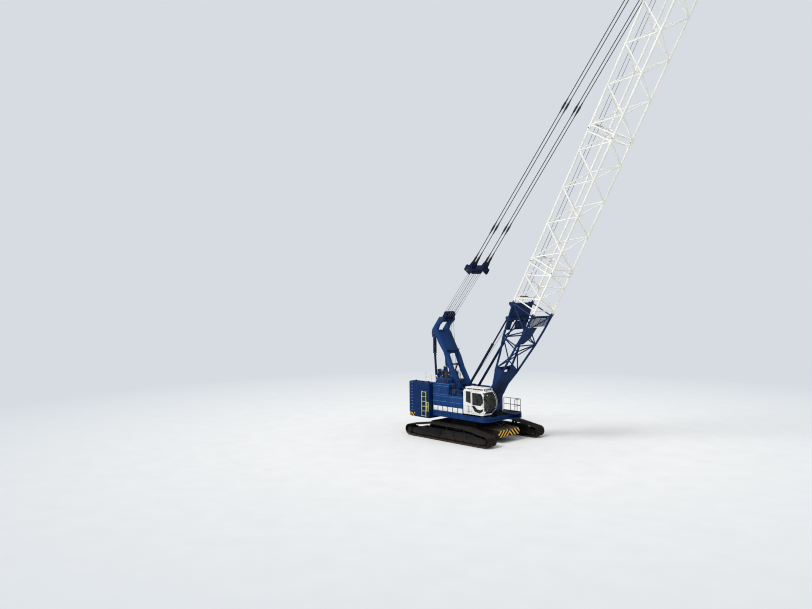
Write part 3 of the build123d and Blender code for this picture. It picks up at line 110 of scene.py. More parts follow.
glow = add(tree, "ShaderNodeEmission", {"Color": BACKDROP, "Strength": 1.0}).outputs[0]
tree.links.new(add(tree, "ShaderNodeMixShader", {0: seen, 1: lit, 2: glow}).outputs[0], surface)
bm = bmesh.new()
bmesh.ops.create_grid(bm, x_segments=8, y_segments=8, size=FLOOR_HALF)
yard_mesh = bpy.data.meshes.new("yard")
bm.to_mesh(yard_mesh)
bm.free()
yard_mesh.materials.append(yard_ground)
yard = bpy.data.objects.new("yard", yard_mesh)
bpy.context.scene.collection.objects.link(yard)

sky = bpy.data.worlds.new("sky")
sky.use_nodes = True
sky.node_tree.nodes.clear()
tree = sky.node_tree
path = add(tree, "ShaderNodeLightPath")
seen = calc(tree, "MAXIMUM", path.outputs["Is Camera Ray"], path.outputs["Is Transmission Ray"])
up = add(tree, "ShaderNodeSeparateXYZ", {0: add(tree,
                                                "ShaderNodeTexCoord").outputs["Generated"]}).outputs[2]
clouds = mix(tree, remap(tree, up, -0.1, 0.8), rgb(196, 202, 210), rgb(242, 245, 250))
power = remap(tree, path.outputs["Is Glossy Ray"], 0.0, 1.0, 0.72, 0.25)
dome = add(tree, "ShaderNodeBackground", {"Color": clouds, "Strength": power}).outputs[0]
plain = add(tree, "ShaderNodeBackground", {"Color": BACKDROP, "Strength": 1.0}).outputs[0]
both = add(tree, "ShaderNodeMixShader", {0: seen, 1: dome, 2: plain}).outputs[0]
tree.links.new(both, tree.nodes.new("ShaderNodeOutputWorld").inputs["Surface"])
bpy.context.scene.world = sky

SUN_WAY = Vector((0.1, 0.72, -0.8))
sun = bpy.data.lights.new("sun", "SUN")
sun.energy = 2.1
sun.angle = radians(22)
sun_object = bpy.data.objects.new("sun", sun)
sun_object.rotation_euler = SUN_WAY.to_track_quat("-Z", "Y").to_euler()
bpy.context.scene.collection.objects.link(sun_object)

# Camera. It stands where the photograph was taken: 53 m from the crane, ten metres up, looking
# at its right front corner, with the boom's top out of the picture.
CAMERA_AT = Vector((35.14, -40.09, 10.23))
pitch, roll = radians(-0.766), radians(-0.528)
across = Vector((0.6891, 0.7247, 0.0))
ahead = Vector((-0.7247 * cos(pitch), 0.6891 * cos(pitch), sin(pitch)))
upright = across.cross(ahead)
right = across * cos(roll) + upright * sin(roll)
top = upright * cos(roll) - across * sin(roll)
lens = bpy.data.cameras.new("camera")
lens.sensor_width = 36.0
lens.lens = 32.62
lens.clip_end = 2000.0
camera = bpy.data.objects.new("camera", lens)
camera.matrix_world = Matrix.Translation(CAMERA_AT) @ Matrix((right, top, -ahead)).transposed().to_4x4()
bpy.context.scene.collection.objects.link(camera)
bpy.context.scene.camera = camera
bpy.context.scene.view_settings.view_transform = "Standard"
bpy.context.scene.cycles.filter_width = 1.1

# Tracks. Each is an endless chain of 76 cast steel shoes, pinned to one another, that runs round
# the sprocket, the idler and the rollers. Earth packs the gaps, and the pads are worn bright.
SHOES = 76
SHOE_HALF = 0.45
TRACK_Y = 2.65
TRACK_RADIUS = 0.38
WHEEL_X, WHEEL_Z = 3.57, 0.44
ROLLER_END = 3.05
TRACK_ROUNDS = ((-1.6, 0.75), (1.6, 0.75), (WHEEL_X, WHEEL_Z), (ROLLER_END, TRACK_RADIUS),
                (-ROLLER_END, TRACK_RADIUS), (-WHEEL_X, WHEEL_Z))
SHOE_DEEP = 0.058


def new_group(name, inputs, outputs):
    """A shader node group with named sockets; returns its tree, its input node and its output node."""
    group = bpy.data.node_groups.new(name, "ShaderNodeTree")
    for label, kind, value in inputs:
        socket = group.interface.new_socket(label, in_out="INPUT", socket_type=kind)
        if value is not None:
            socket.default_value = value
    for label, kind in outputs:
        group.interface.new_socket(label, in_out="OUTPUT", socket_type=kind)
    return group, group.nodes.new("NodeGroupInput"), group.nodes.new("NodeGroupOutput")


FLOAT, COLOUR, VECTOR = "NodeSocketFloat", "NodeSocketColor", "NodeSocketVector"
weathered, given, result = new_group(
    "weathered",
    (("Place", VECTOR, None), ("Facing", VECTOR, None), ("Colour", COLOUR, (0.5, 0.5, 0.5, 1.0)),
     ("Roughness", FLOAT, 0.4), ("Dirt Colour", COLOUR, rgb(108, 92, 76)), ("Dirt", FLOAT, 0.3),
     ("Streaks", FLOAT, 0.3), ("Top Dust", FLOAT, 0.3), ("Mud", FLOAT, 0.0), ("Mud Top", FLOAT, 1.0),
     ("Chips", FLOAT, 0.2), ("Chip Colour", COLOUR, rgb(92, 74, 62)), ("Fade", FLOAT, 0.12)),
    (("Colour", COLOUR), ("Roughness", FLOAT), ("Height", FLOAT), ("Chipped", FLOAT)),
)
spot = given.outputs["Place"]
broad = add(weathered, "ShaderNodeTexNoise", {"Vector": spot, "Scale": 0.8,
                                              "Detail": 4.0}).outputs["Fac"]
grit = add(weathered, "ShaderNodeTexNoise",
           {"Vector": spot, "Scale": 6.0, "Detail": 8.0, "Roughness": 0.7}).outputs["Fac"]
fine = add(weathered, "ShaderNodeTexNoise", {"Vector": spot, "Scale": 55.0,
                                             "Detail": 3.0}).outputs["Fac"]
drawn = add(weathered, "ShaderNodeMapping", {"Vector": spot, "Scale": (7.0, 7.0, 0.45)}).outputs[0]
runs = add(weathered, "ShaderNodeTexNoise", {"Vector": drawn, "Scale": 1.0,
                                             "Detail": 6.0}).outputs["Fac"]
upward = add(weathered, "ShaderNodeSeparateXYZ", {0: given.outputs["Facing"]}).outputs[2]
level = add(weathered, "ShaderNodeSeparateXYZ", {0: spot}).outputs[2]
blots = calc(weathered, "ADD", calc(weathered, "MULTIPLY", grit, 0.6),
             calc(weathered, "MULTIPLY", broad, 0.4))
patches = remap(weathered, blots, 0.46, 0.62)
patches = calc(weathered, "MULTIPLY", patches, given.outputs["Dirt"])
wall = calc(weathered, "SUBTRACT", 1.0, calc(weathered, "ABSOLUTE", upward, 0.0))
streaks = calc(weathered, "MULTIPLY", remap(weathered, runs, 0.5, 0.72), given.outputs["Streaks"])
streaks = calc(weathered, "MULTIPLY", streaks, wall)
settled = calc(weathered, "MULTIPLY", remap(weathered, upward, 0.45, 0.95), given.outputs["Top Dust"])
settled = calc(weathered, "MULTIPLY", settled, remap(weathered, grit, 0.3, 0.62, 0.55, 1.0))
film = calc(weathered, "MAXIMUM", calc(weathered, "MAXIMUM", patches, streaks), settled)
lumps = calc(weathered, "SUBTRACT", grit, 0.5)
ragged = calc(weathered, "ADD", level, calc(weathered, "MULTIPLY", lumps, 0.9))
clods = calc(weathered, "SUBTRACT", 1.0, calc(weathered, "DIVIDE", ragged, given.outputs["Mud Top"]))
clods = calc(weathered, "MULTIPLY", remap(weathered, clods, 0.0, 0.5), given.outputs["Mud"])
flecks = calc(weathered, "ADD", calc(weathered, "MULTIPLY", fine, 0.5),
              calc(weathered, "MULTIPLY", grit, 0.5))
flaked = remap(weathered, flecks, 0.60, 0.64)
flaked = calc(weathered, "MULTIPLY", flaked, given.outputs["Chips"])
faded = mix(weathered, given.outputs["Fade"], given.outputs["Colour"], rgb(170, 172, 176))
shade = remap(weathered, broad, 0.3, 0.7, 0.86, 1.1)
toned = mix(weathered, remap(weathered, broad, 0.35, 0.7), given.outputs["Colour"], faded)
grey = add(weathered, "ShaderNodeCombineColor", {0: shade, 1: shade, 2: shade}).outputs[0]
toned = mix(weathered, 1.0, toned, grey, "MULTIPLY")
toned = mix(weathered, flaked, toned, given.outputs["Chip Colour"])
toned = mix(weathered, film, toned, given.outputs["Dirt Colour"])
earth = mix(weathered, grit, rgb(72, 58, 46), rgb(128, 106, 84))
toned = mix(weathered, clods, toned, earth)
dull = calc(weathered, "ADD", given.outputs["Roughness"], calc(weathered, "MULTIPLY", film, 0.35))
dull = calc(weathered, "ADD", dull, calc(weathered, "MULTIPLY", clods, 0.5))
raised = calc(weathered, "ADD", calc(weathered, "MULTIPLY", grit, calc(weathered, "ADD", clods, 0.12)),
              calc(weathered, "MULTIPLY", flaked, -0.4))
weathered.links.new(toned, result.inputs["Colour"])
weathered.links.new(calc(weathered, "MINIMUM", dull, 0.95), result.inputs["Roughness"])
weathered.links.new(raised, result.inputs["Height"])
weathered.links.new(flaked, result.inputs["Chipped"])


def coat(name, colour, metallic=0.0, bump=0.02, gloss=0.0, tint=None, **wear):
    """A weathered finish; tint may turn the plain colour into a pattern on Object coordinates."""
    made, tree, surface = new_material(name)
    coords = add(tree, "ShaderNodeTexCoord")
    worn = add(tree, "ShaderNodeGroup", node_tree=weathered)
    tree.links.new(coords.outputs["Object"], worn.inputs["Place"])
    tree.links.new(coords.outputs["Normal"], worn.inputs["Facing"])
    worn.inputs["Colour"].default_value = colour
    if tint:
        tree.links.new(tint(tree, coords.outputs["Object"], colour), worn.inputs["Colour"])
    for label, value in wear.items():
        worn.inputs[label.replace("_", " ")].default_value = value
    relief = add(tree, "ShaderNodeBump", {"Height": worn.outputs["Height"], "Distance": bump,
                                          "Strength": 0.6})
    shader = add(tree, "ShaderNodeBsdfPrincipled",
                 {"Base Color": worn.outputs["Colour"], "Roughness": worn.outputs["Roughness"],
                  "Normal": relief.outputs[0], "Metallic": metallic, "Coat Weight": gloss,
                  "Coat Roughness": 0.15, "Specular IOR Level": 0.3})
    tree.links.new(shader.outputs[0], surface)
    return made


def fit(obj, material):
    """One finish over the whole of a piece or a carried-over node."""
    obj.data.materials.clear()
    obj.data.materials.append(material)


def piece(name, bm, body, material, smooth=38):
    """A new piece from a bmesh: it rides on a body and takes its finish."""
    bmesh.ops.recalc_face_normals(bm, faces=bm.faces)
    mesh = bpy.data.meshes.new(name)
    bm.to_mesh(mesh)
    bm.free()
    mesh.shade_smooth()
    mesh.set_sharp_from_angle(angle=radians(smooth))
    mesh.materials.append(material)
    obj = bpy.data.objects.new(name, mesh)
    bpy.context.scene.collection.objects.link(obj)
    if body:
        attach(obj, body)
    return obj


def bevelled(bm, faces_before, width, segments=2):
    """Rounds the edges of what was added since faces_before."""
    edges = {edge for face in list(bm.faces)[faces_before:] for edge in face.edges
             if edge.is_manifold and edge.calc_face_angle() > radians(28)}
    bmesh.ops.bevel(bm, geom=list(edges), offset=width, segments=segments, profile=0.5, affect="EDGES",
                    material=-1, clamp_overlap=True)


def block(bm, low, high, soften=0.006, turn=None):
    """A block between two corners with softened edges, turned about its middle."""
    before = len(bm.faces)
    low, high = Vector(map(min, low, high)), Vector(map(max, low, high))
    size = high - low
    middle = (high + low) / 2
    matrix = Matrix.Translation(middle) @ (turn or Matrix()) @ Matrix.Diagonal((*size, 1.0))
    bmesh.ops.create_cube(bm, size=1.0, matrix=matrix)
    if soften:
        bm.faces.ensure_lookup_table()
        bevelled(bm, before, soften)


def rod(bm, start, end, radius, sides=16, tip=None, soften=0.0):
    """A round bar or a tube's outside, from point to point."""
    before = len(bm.faces)
    start, end = Vector(start), Vector(end)
    way = end - start
    matrix = Matrix.Translation((start + end) / 2) @ way.to_track_quat("Z", "Y").to_matrix().to_4x4()
    bmesh.ops.create_cone(bm, cap_ends=True, segments=sides, radius1=radius, radius2=tip or radius,
                          depth=way.length, matrix=matrix)
    if soften:
        bm.faces.ensure_lookup_table()
        bevelled(bm, before, soften)


def axle(bm, x, z, y0, y1, radius, sides=16, soften=0.0):
    """A round bar that lies across the crane, from y0 to y1."""
    rod(bm, (x, y0, z), (x, y1, z), radius, sides, soften=soften)


def post(bm, x, y, z0, z1, radius, sides=16, soften=0.0):
    """A round bar that stands upright, from z0 to z1."""
    rod(bm, (x, y, z0), (x, y, z1), radius, sides, soften=soften)


def bolt_ring(bm, x, z, reach, count, y0, y1, radius, start=0.0):
    """Hexagon bolt heads all round an axle."""
    for k in range(count):
        turn = start + 2 * pi * k / count
        axle(bm, x + reach * cos(turn), z + reach * sin(turn), y0, y1, radius, 6)


def plate(bm, corners, thick, soften=0.004):
    """A flat plate: its corners in one plane, and the vector of its thickness."""
    before = len(bm.faces)
    face = bm.faces.new([bm.verts.new(corner) for corner in corners])
    grown = bmesh.ops.extrude_face_region(bm, geom=[face])
    moved = [item for item in grown["geom"] if isinstance(item, bmesh.types.BMVert)]
    bmesh.ops.translate(bm, verts=moved, vec=Vector(thick))
    if soften:
        bm.faces.ensure_lookup_table()
        bevelled(bm, before, soften)


def stamp(bm, mesh, matrices):
    """Copies of one mesh, each moved by its own matrix."""
    for matrix in matrices:
        count = len(bm.verts)
        bm.from_mesh(mesh)
        bm.verts.ensure_lookup_table()
        bmesh.ops.transform(bm, matrix=matrix, verts=bm.verts[count:])


def track_run(reach):
    """Point and direction of the chain's outside, so far along it from the rear end of its top."""
    count = len(TRACK_ROUNDS)
    ways = [(Vector(TRACK_ROUNDS[(i + 1) % count]) - Vector(TRACK_ROUNDS[i])) for i in range(count)]
    for i, leg in enumerate(ways):
        way = leg.normalized()
        out = Vector((-way.y, way.x))
        if reach < leg.length:
            return Vector(TRACK_ROUNDS[i]) + way * reach + out * TRACK_RADIUS, way
        reach -= leg.length
        bend = way.angle(ways[(i + 1) % count]) * TRACK_RADIUS
        if reach < bend:
            turn = Matrix.Rotation(-reach / TRACK_RADIUS, 2)
            return Vector(TRACK_ROUNDS[(i + 1) % count]) + turn @ out * TRACK_RADIUS, turn @ way
        reach -= bend


bm = bmesh.new()
profile = ((-0.100, 0.0), (0.100, 0.0), (0.105, 0.018), (0.086, 0.034), (0.064, 0.034), (0.056, 0.058),
           (0.036, 0.058), (0.028, 0.036), (-0.028, 0.036), (-0.036, 0.058), (-0.056, 0.058),
           (-0.064, 0.034), (-0.09, 0.034), (-0.105, 0.014))
plate(bm, [(x, -SHOE_HALF, z) for x, z in profile], (0, 2 * SHOE_HALF, 0), soften=0.003)
for y in (-0.125, 0.125):
    block(bm, (-0.085, y - 0.05, -0.058), (0.075, y + 0.05, 0.002), soften=0.008)
for y in (-0.3, 0.3):
    block(bm, (-0.03, y - 0.045, 0.03), (0.03, y + 0.045, 0.044), soften=0.005)
axle(bm, -0.1, -0.03, -0.2, 0.2, 0.021, sides=10)
bmesh.ops.recalc_face_normals(bm, faces=bm.faces)
shoe = bpy.data.meshes.new("shoe")
bm.to_mesh(shoe)
bm.free()
shoe_steel = coat("shoe_steel", rgb(30, 29, 30), metallic=0.3, bump=0.03, Roughness=0.55, Mud=0.16,
                  Mud_Top=0.5, Dirt=0.25, Dirt_Colour=rgb(80, 68, 58), Top_Dust=0.8, Chips=0.2,
                  Chip_Colour=rgb(82, 74, 66), Fade=0.02, Streaks=0.05)
chain = sum((Vector(TRACK_ROUNDS[i]) - Vector(TRACK_ROUNDS[i - 1])).length
            for i in range(len(TRACK_ROUNDS)))
chain += 2 * pi * TRACK_RADIUS
for side, sign in (("right", -1), ("left", 1)):
    bm = bmesh.new()
    seats = []
    for i in range(SHOES):
        spot, way = track_run((i + 0.5) * chain / SHOES)
        out = Vector((-way.y, way.x))
        spot = spot - out * SHOE_DEEP
        seats.append(Matrix(((way.x, 0, out.x, spot.x), (0, 1, 0, sign * TRACK_Y),
                             (way.y, 0, out.y, spot.y), (0, 0, 0, 1))))
    stamp(bm, shoe, seats)
    track = piece(f"track_shoes_{side}", bm, "undercarriage", shoe_steel)
    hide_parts(f"track_{side}")

# Crawler frames. Welded box girders inside the chains, with forged rollers pinned between their
# side plates, a toothed sprocket driven from a gearbox at the rear and a spoked idler in front.
frame_black = coat("frame_black", rgb(20, 21, 25), bump=0.015, Roughness=0.5, Mud=0.15, Mud_Top=0.5,
                   Dirt=0.3, Dirt_Colour=rgb(52, 46, 42), Top_Dust=0.4, Chips=0.2, Streaks=0.2,
                   Fade=0.02)
roller_steel = coat("roller_steel", rgb(38, 36, 36), metallic=0.5, bump=0.008, Roughness=0.45, Mud=0.15,
                    Mud_Top=0.5, Dirt=0.4, Dirt_Colour=rgb(50, 43, 38), Top_Dust=0.3, Chips=0.2,
                    Fade=0.02)
CHEEK = 0.24
ROLLERS, ROLLER_Z, CARRIER_Z = 9, 0.24, 0.94
ROLLER_PITCH = 2 * ROLLER_END / (ROLLERS - 1)
for side, sign in (("right", -1), ("left", 1)):
    fit(nodes[f"crawler_frame_{side}"], frame_black)
    fit(nodes[f"wheels_{side}"], roller_steel)
    y = sign * TRACK_Y
    bm = bmesh.new()
    for x in [i * ROLLER_PITCH - ROLLER_END for i in range(ROLLERS)]:
        for edge in (-1, 1):
            start = y + edge * CHEEK
            axle(bm, x, ROLLER_Z, start, y + edge * (CHEEK + 0.03), 0.075, 20, soften=0.006)
            axle(bm, x, ROLLER_Z, start, y + edge * (CHEEK + 0.05), 0.035, 12, soften=0.004)
            bolt_ring(bm, x, ROLLER_Z, 0.055, 4, start, y + edge * (CHEEK + 0.042), 0.01, pi / 4)
    for x in (-1.6, 0.0, 1.6):
        for edge in (-1, 1):
            axle(bm, x, CARRIER_Z, y + edge * CHEEK, y + edge * (CHEEK + 0.025), 0.038, soften=0.005)
    piece(f"roller_caps_{side}", bm, "undercarriage", roller_steel)
    bm = bmesh.new()
    for x in (-2.6, -1.85, -0.62, 0.62, 1.85, 2.6):
        for edge in (-1, 1):
            inner, outer = y + edge * CHEEK, y + edge * (CHEEK + 0.035)
            block(bm, (x - 0.02, inner, 0.36), (x + 0.02, outer, 0.7), soften=0.005)
    for edge in (-1, 1):
        inner, outer = y + edge * CHEEK, y + edge * (CHEEK + 0.03)
        block(bm, (-2.3, inner, 0.735), (2.3, outer, 0.765), soften=0.005)
        block(bm, (-2.95, inner, 0.33), (2.95, outer, 0.355), soften=0.005)
    for edge in (-1, 1):
        inner, outer = y + edge * CHEEK, y + edge * (CHEEK + 0.05)
        block(bm, (WHEEL_X - 0.34, inner, WHEEL_Z - 0.07), (WHEEL_X - 0.1, outer, WHEEL_Z + 0.07),
              soften=0.01)
    axle(bm, -WHEEL_X, WHEEL_Z, y - sign * CHEEK, y - sign * 0.42, 0.19, 32, soften=0.012)
    face = y + sign * 0.36
    for hub, radius, bolts in ((-WHEEL_X, 0.2, 12), (WHEEL_X, 0.12, 8)):
        axle(bm, hub, WHEEL_Z, face, face + sign * 0.018, 0.6 * radius, 28, soften=0.006)
        bolt_ring(bm, hub, WHEEL_Z, 0.82 * radius, bolts, face - sign * 0.01, face + sign * 0.014,
                  0.012)
    piece(f"crawler_fittings_{side}", bm, "undercarriage", frame_black)
    bm = bmesh.new()
    for wheel, lugs in ((-WHEEL_X, 14), (WHEEL_X, 0)):
        for edge in (-1, 1):
            axle(bm, wheel, WHEEL_Z, y + edge * 0.15, y + edge * 0.19, 0.255, 40, soften=0.01)
        for k in range(lugs):
            turn = Matrix.Rotation(-2 * pi * k / lugs, 4, "Y")
            at = Vector((wheel, y, WHEEL_Z)) + turn @ Vector((0.0, 0.0, 0.25))
            block(bm, at - Vector((0.035, 0.06, 0.03)), at + Vector((0.035, 0.06, 0.03)), 0.008, turn)
    piece(f"wheel_rims_{side}", bm, "undercarriage", roller_steel)

# Carbody. The welded box between the crawlers, with cross beams, lifting eyes and the lower
# ballast hung at both ends. The front block carries the painted warning chevrons.
CHEVRON_YELLOW = rgb(255, 200, 72)
CHEVRONS_A_METRE, CHEVRON_SHARE = 3.0, 0.4
BALLAST_FACE = 3.18


def chevrons(tree, spot, colour):
    """Bands that meet in the middle, on the front and the rear face of the ballast."""
    parts = add(tree, "ShaderNodeSeparateXYZ", {0: spot})
    fall = calc(tree, "ADD", parts.outputs[2], calc(tree, "ABSOLUTE", parts.outputs[1], 0.0))
    repeat = calc(tree, "FRACT", calc(tree, "MULTIPLY", fall, CHEVRONS_A_METRE), 0.0)
    band = calc(tree, "LESS_THAN", repeat, CHEVRON_SHARE)
    end = calc(tree, "GREATER_THAN", calc(tree, "ABSOLUTE", parts.outputs[0], 0.0), BALLAST_FACE)
    return mix(tree, calc(tree, "MULTIPLY", band, end), colour, CHEVRON_YELLOW)


ballast_black = coat("ballast_black", rgb(14, 14, 16), bump=0.01, tint=chevrons, Roughness=0.5, Mud=0.1,
                     Mud_Top=0.4, Dirt=0.12, Top_Dust=0.6, Chips=0.25, Streaks=0.12, Fade=0.0)
for name in ("ballast_front", "ballast_rear"):
    fit(nodes[name], ballast_black)
fit(nodes["carbody"], frame_black)
bm = bmesh.new()
for end in (-1, 1):
    for y in (-0.7, 0.7):
        post(bm, end * 2.4, y, 0.93, 0.96, 0.07, soften=0.006)
        block(bm, (end * 2.2 - 0.06, y - 0.02, 0.9), (end * 2.2 + 0.06, y + 0.02, 1.02), soften=0.012)
    for y in (-1.0, -0.5, 0.5, 1.0):
        at = end * 1.62
        block(bm, (at - 0.16, y - 0.012, 0.84), (at + 0.16, y + 0.012, 0.99), soften=0.003)
for x in (-1.15, 1.15):
    for y in (-2.0, -1.3, 1.3, 2.0):
        block(bm, (x - 0.28, y - 0.03, 0.39), (x + 0.28, y + 0.03, 0.845), soften=0.006)
piece("carbody_fittings", bm, "undercarriage", frame_black)

# Slewing ring. Two forged races with the gear teeth on the outside, greased, and bolted all
# round to the seat on the carbody below and to the deck above.
greased_steel = coat("greased_steel", rgb(74, 74, 74), metallic=0.8, bump=0.005, Roughness=0.35,
                     Dirt=0.7, Dirt_Colour=rgb(48, 42, 36), Top_Dust=0.3, Chips=0.0)
fit(nodes["slewing_ring"], greased_steel)
RING_TEETH, RING_BOLTS = 96, 48
bm = bmesh.new()
for k in range(RING_TEETH):
    turn = Matrix.Rotation(2 * pi * k / RING_TEETH, 4, "Z")
    at = turn @ Vector((0.955, 0, 1.31))
    block(bm, at - Vector((0.016, 0.014, 0.045)), at + Vector((0.016, 0.014, 0.045)), 0.0, turn)
for k in range(RING_BOLTS):
    turn = 2 * pi * (k + 0.5) / RING_BOLTS
    at = (0.985 * cos(turn), 0.985 * sin(turn))
    rod(bm, (*at, 1.249), (*at, 1.272), 0.016, 6)
piece("ring_teeth", bm, "undercarriage", greased_steel)

# Upper frame. The welded deck that everything above slews on, painted blue: side sills, a deep
# middle girder, ribs, and the eyes for the boom, the A-frame and the back-stops.
FRAME_BLUE = rgb(0, 56, 116)
frame_blue = coat("frame_blue", FRAME_BLUE, bump=0.006, gloss=0.03, Roughness=0.45, Dirt=0.2,
                  Dirt_Colour=rgb(26, 34, 52), Streaks=0.25, Top_Dust=0.25, Chips=0.2, Fade=0.015)
pin_steel = coat("pin_steel", rgb(120, 118, 114), metallic=0.85, bump=0.003, Roughness=0.35, Dirt=0.5,
                 Dirt_Colour=rgb(60, 50, 42), Chips=0.1)
fit(nodes["upper_frame"], frame_blue)
fit(nodes["boom_foot_pins"], pin_steel)
SILL_Y = 1.755
FOOT_PIN = (1.24, 1.89)
A_FRAME_PIN = (-0.25, 2.2)
bm = bmesh.new()
for y in (-SILL_Y, SILL_Y):
    for z in (1.425, 1.745):
        block(bm, (-2.45, y - 0.022, z - 0.012), (2.45, y + 0.022, z + 0.012), soften=0.004)
    for x in (-2.3, -1.5, -0.7, 0.1, 0.9, 1.7, 2.35):
        block(bm, (x - 0.012, y - 0.018, 1.43), (x + 0.012, y + 0.018, 1.74), soften=0.003)
for side in (-1, 1):
    for inner in (0.374, 0.776):
        axle(bm, *FOOT_PIN, side * (inner - 0.03), side * (inner + 0.03), 0.13, 32, soften=0.008)
    for inner in (0.475, 0.685):
        axle(bm, *A_FRAME_PIN, side * (inner - 0.02), side * (inner + 0.02), 0.11, 28, soften=0.008)
    for x in (-1.9, -0.3, 0.9):
        block(bm, (x - 0.05, side * 1.03, 1.75), (x + 0.05, side * 1.09, 1.84), soften=0.008)
for x in (1.62, 2.02, 2.4):
    block(bm, (x, -0.98, 1.64), (x + 0.03, 0.98, 1.7), soften=0.004)
piece("deck_edges", bm, "upperworks", frame_blue)

# Slewing drives. Two hydraulic motors on their gearboxes, bolted down ahead of the boom's foot,
# with a valve block before them. They stay low, so that the boom clears them at its lowest.
DRIVE_X, DRIVE_FOOT = 1.93, 1.64
bm = bmesh.new()
for y in (-0.62, 0.62):
    post(bm, DRIVE_X, y, DRIVE_FOOT, 1.88, 0.15, 28, soften=0.015)
    post(bm, DRIVE_X, y, 1.88, 1.97, 0.1, 28, soften=0.012)
    axle(bm, DRIVE_X, 1.8, y, y - 0.2, 0.035, 14)
    block(bm, (1.76, y - 0.19, DRIVE_FOOT), (2.1, y + 0.19, 1.67), soften=0.006)
block(bm, (2.08, -0.32, DRIVE_FOOT), (2.42, 0.32, 1.9), soften=0.02)
for k in range(5):
    post(bm, 2.2, -0.26 + 0.13 * k, 1.9, 1.95, 0.025, 12)
piece("slew_drives", bm, "upperworks", frame_black)

# Deck plates. Chequered steel on the left walkway and on the deck between the winches and the
# boom's foot, with a kick plate round the walkway's edge. The raised tears are rolled in.


def tears(tree, spot, colour):
    """Chequer pattern: light grey spots, one in each cell of a square grid."""
    grid = add(tree, "ShaderNodeMapping", {"Vector": spot, "Scale": (18.0, 18.0, 18.0)}).outputs[0]
    cells = add(tree, "ShaderNodeTexVoronoi",
                {"Vector": grid, "Scale": 1.0, "Randomness": 0.15}).outputs["Distance"]
    return mix(tree, remap(tree, cells, 0.2, 0.34), rgb(118, 122, 126), colour)


chequered = coat("chequered_steel", rgb(62, 68, 78), metallic=0.3, bump=0.02, tint=tears, Roughness=0.5,
                 Dirt=0.5, Top_Dust=0.45, Chips=0.4)
WALKWAY = ((1.3, 1.02, 1.75), (2.94, 1.74, 1.762))
bm = bmesh.new()
block(bm, *WALKWAY, soften=0.003)
block(bm, (-2.43, 1.02, 1.75), (-2.4, 1.1, 1.8), soften=0.003)
block(bm, (0.7, -1.08, 1.79), (0.83, 1.1, 1.8), soften=0.002)
block(bm, (-0.7, -0.44, 1.79), (0.7, 0.44, 1.802), soften=0.003)
block(bm, (2.925, 1.02, 1.762), (2.94, 1.74, 1.87), soften=0.003)
block(bm, (1.3, 1.728, 1.762), (2.94, 1.742, 1.87), soften=0.003)
piece("deck_plates", bm, "upperworks", chequered)

# Housings. Sheet-steel doors hung on both sides of the machinery, each with a pressed frame, a
# latch and two hinges; the upper ones are louvred to let the engine's heat out.
HOUSE_BLUE = rgb(0, 61, 122)
house_blue = coat("house_blue", HOUSE_BLUE, bump=0.005, gloss=0.04, Roughness=0.42, Dirt=0.15,
                  Dirt_Colour=rgb(30, 40, 60), Streaks=0.25, Top_Dust=0.25, Chips=0.15, Fade=0.02)
# Pale blue for painted highlights: the light caught along the bent edges of the housing sheets and the
# slabs.
highlight_blue = coat("highlight_blue", rgb(66, 114, 170), bump=0.004, gloss=0.1, Roughness=0.4, Dirt=0.4,
                 Dirt_Colour=rgb(24, 60, 120), Streaks=0.2, Top_Dust=0.1, Chips=0.3, Fade=0.03)
band_white = coat("band_white", rgb(240, 241, 238), bump=0.003, gloss=0.1, Roughness=0.4, Dirt=0.2,
                  Dirt_Colour=rgb(160, 152, 142), Streaks=0.3, Top_Dust=0.2, Chips=0.25, Fade=0.0)
black_trim = coat("black_trim", rgb(26, 27, 29), bump=0.004, Roughness=0.6, Dirt=0.3, Top_Dust=0.4,
                  Chips=0.0)
for name in ("housing_right", "housing_left"):
    fit(nodes[name], house_blue)
fit(nodes["engine"], coat("engine_grey", rgb(96, 98, 98), bump=0.01, Roughness=0.5, Dirt=0.6,
                          Top_Dust=0.5))


def four_strips(x0, z0, x1, z1, wide):
    """The four sides of a flat frame: below, above, left and right, each as x, z to x, z."""
    return ((x0, z0, x1, z0 + wide), (x0, z1 - wide, x1, z1),
            (x0, z0 + wide, x0 + wide, z1 - wide), (x1 - wide, z0 + wide, x1, z1 - wide))


def door(bm, trims, x0, x1, z0, z1, y, out, kind="skin"):
    """One housing door: a raised skin or an open frame with a rib round it, hinges and a latch."""
    skin = [(x0, z0, x1, z1)]
    if kind == "frame":
        skin = four_strips(x0, z0, x1, z1, 0.12)
    for left, low, right, high in skin:
        block(bm, (left, y - out * 0.002, low), (right, y + out * 0.016, high), soften=0.005)
    for left, low, right, high in four_strips(x0 + 0.02, z0 + 0.02, x1 - 0.02, z1 - 0.02, 0.025):
        block(bm, (left, y + out * 0.01, low), (right, y + out * 0.024, high), soften=0.004)
    for z in (z0 + 0.14, z1 - 0.14):
        post(trims, x0 + 0.005, y + out * 0.022, z - 0.045, z + 0.045, 0.011, 10)
    middle = (z0 + z1) / 2
    block(trims, (x1 - 0.115, y + out * 0.014, middle - 0.02),
          (x1 - 0.07, y + out * 0.032, middle + 0.05))


def hoods(bm, x0, x1, marks, y, out):
    """Sloping blades, each over one slot."""
    for z in marks:
        plate(bm, [(x0, y - out * 0.004, z + 0.05), (x0, y + out * 0.028, z + 0.006),
                   (x0, y + out * 0.024, z), (x0, y - out * 0.004, z + 0.04)], (x1 - x0, 0, 0),
              soften=0.0)


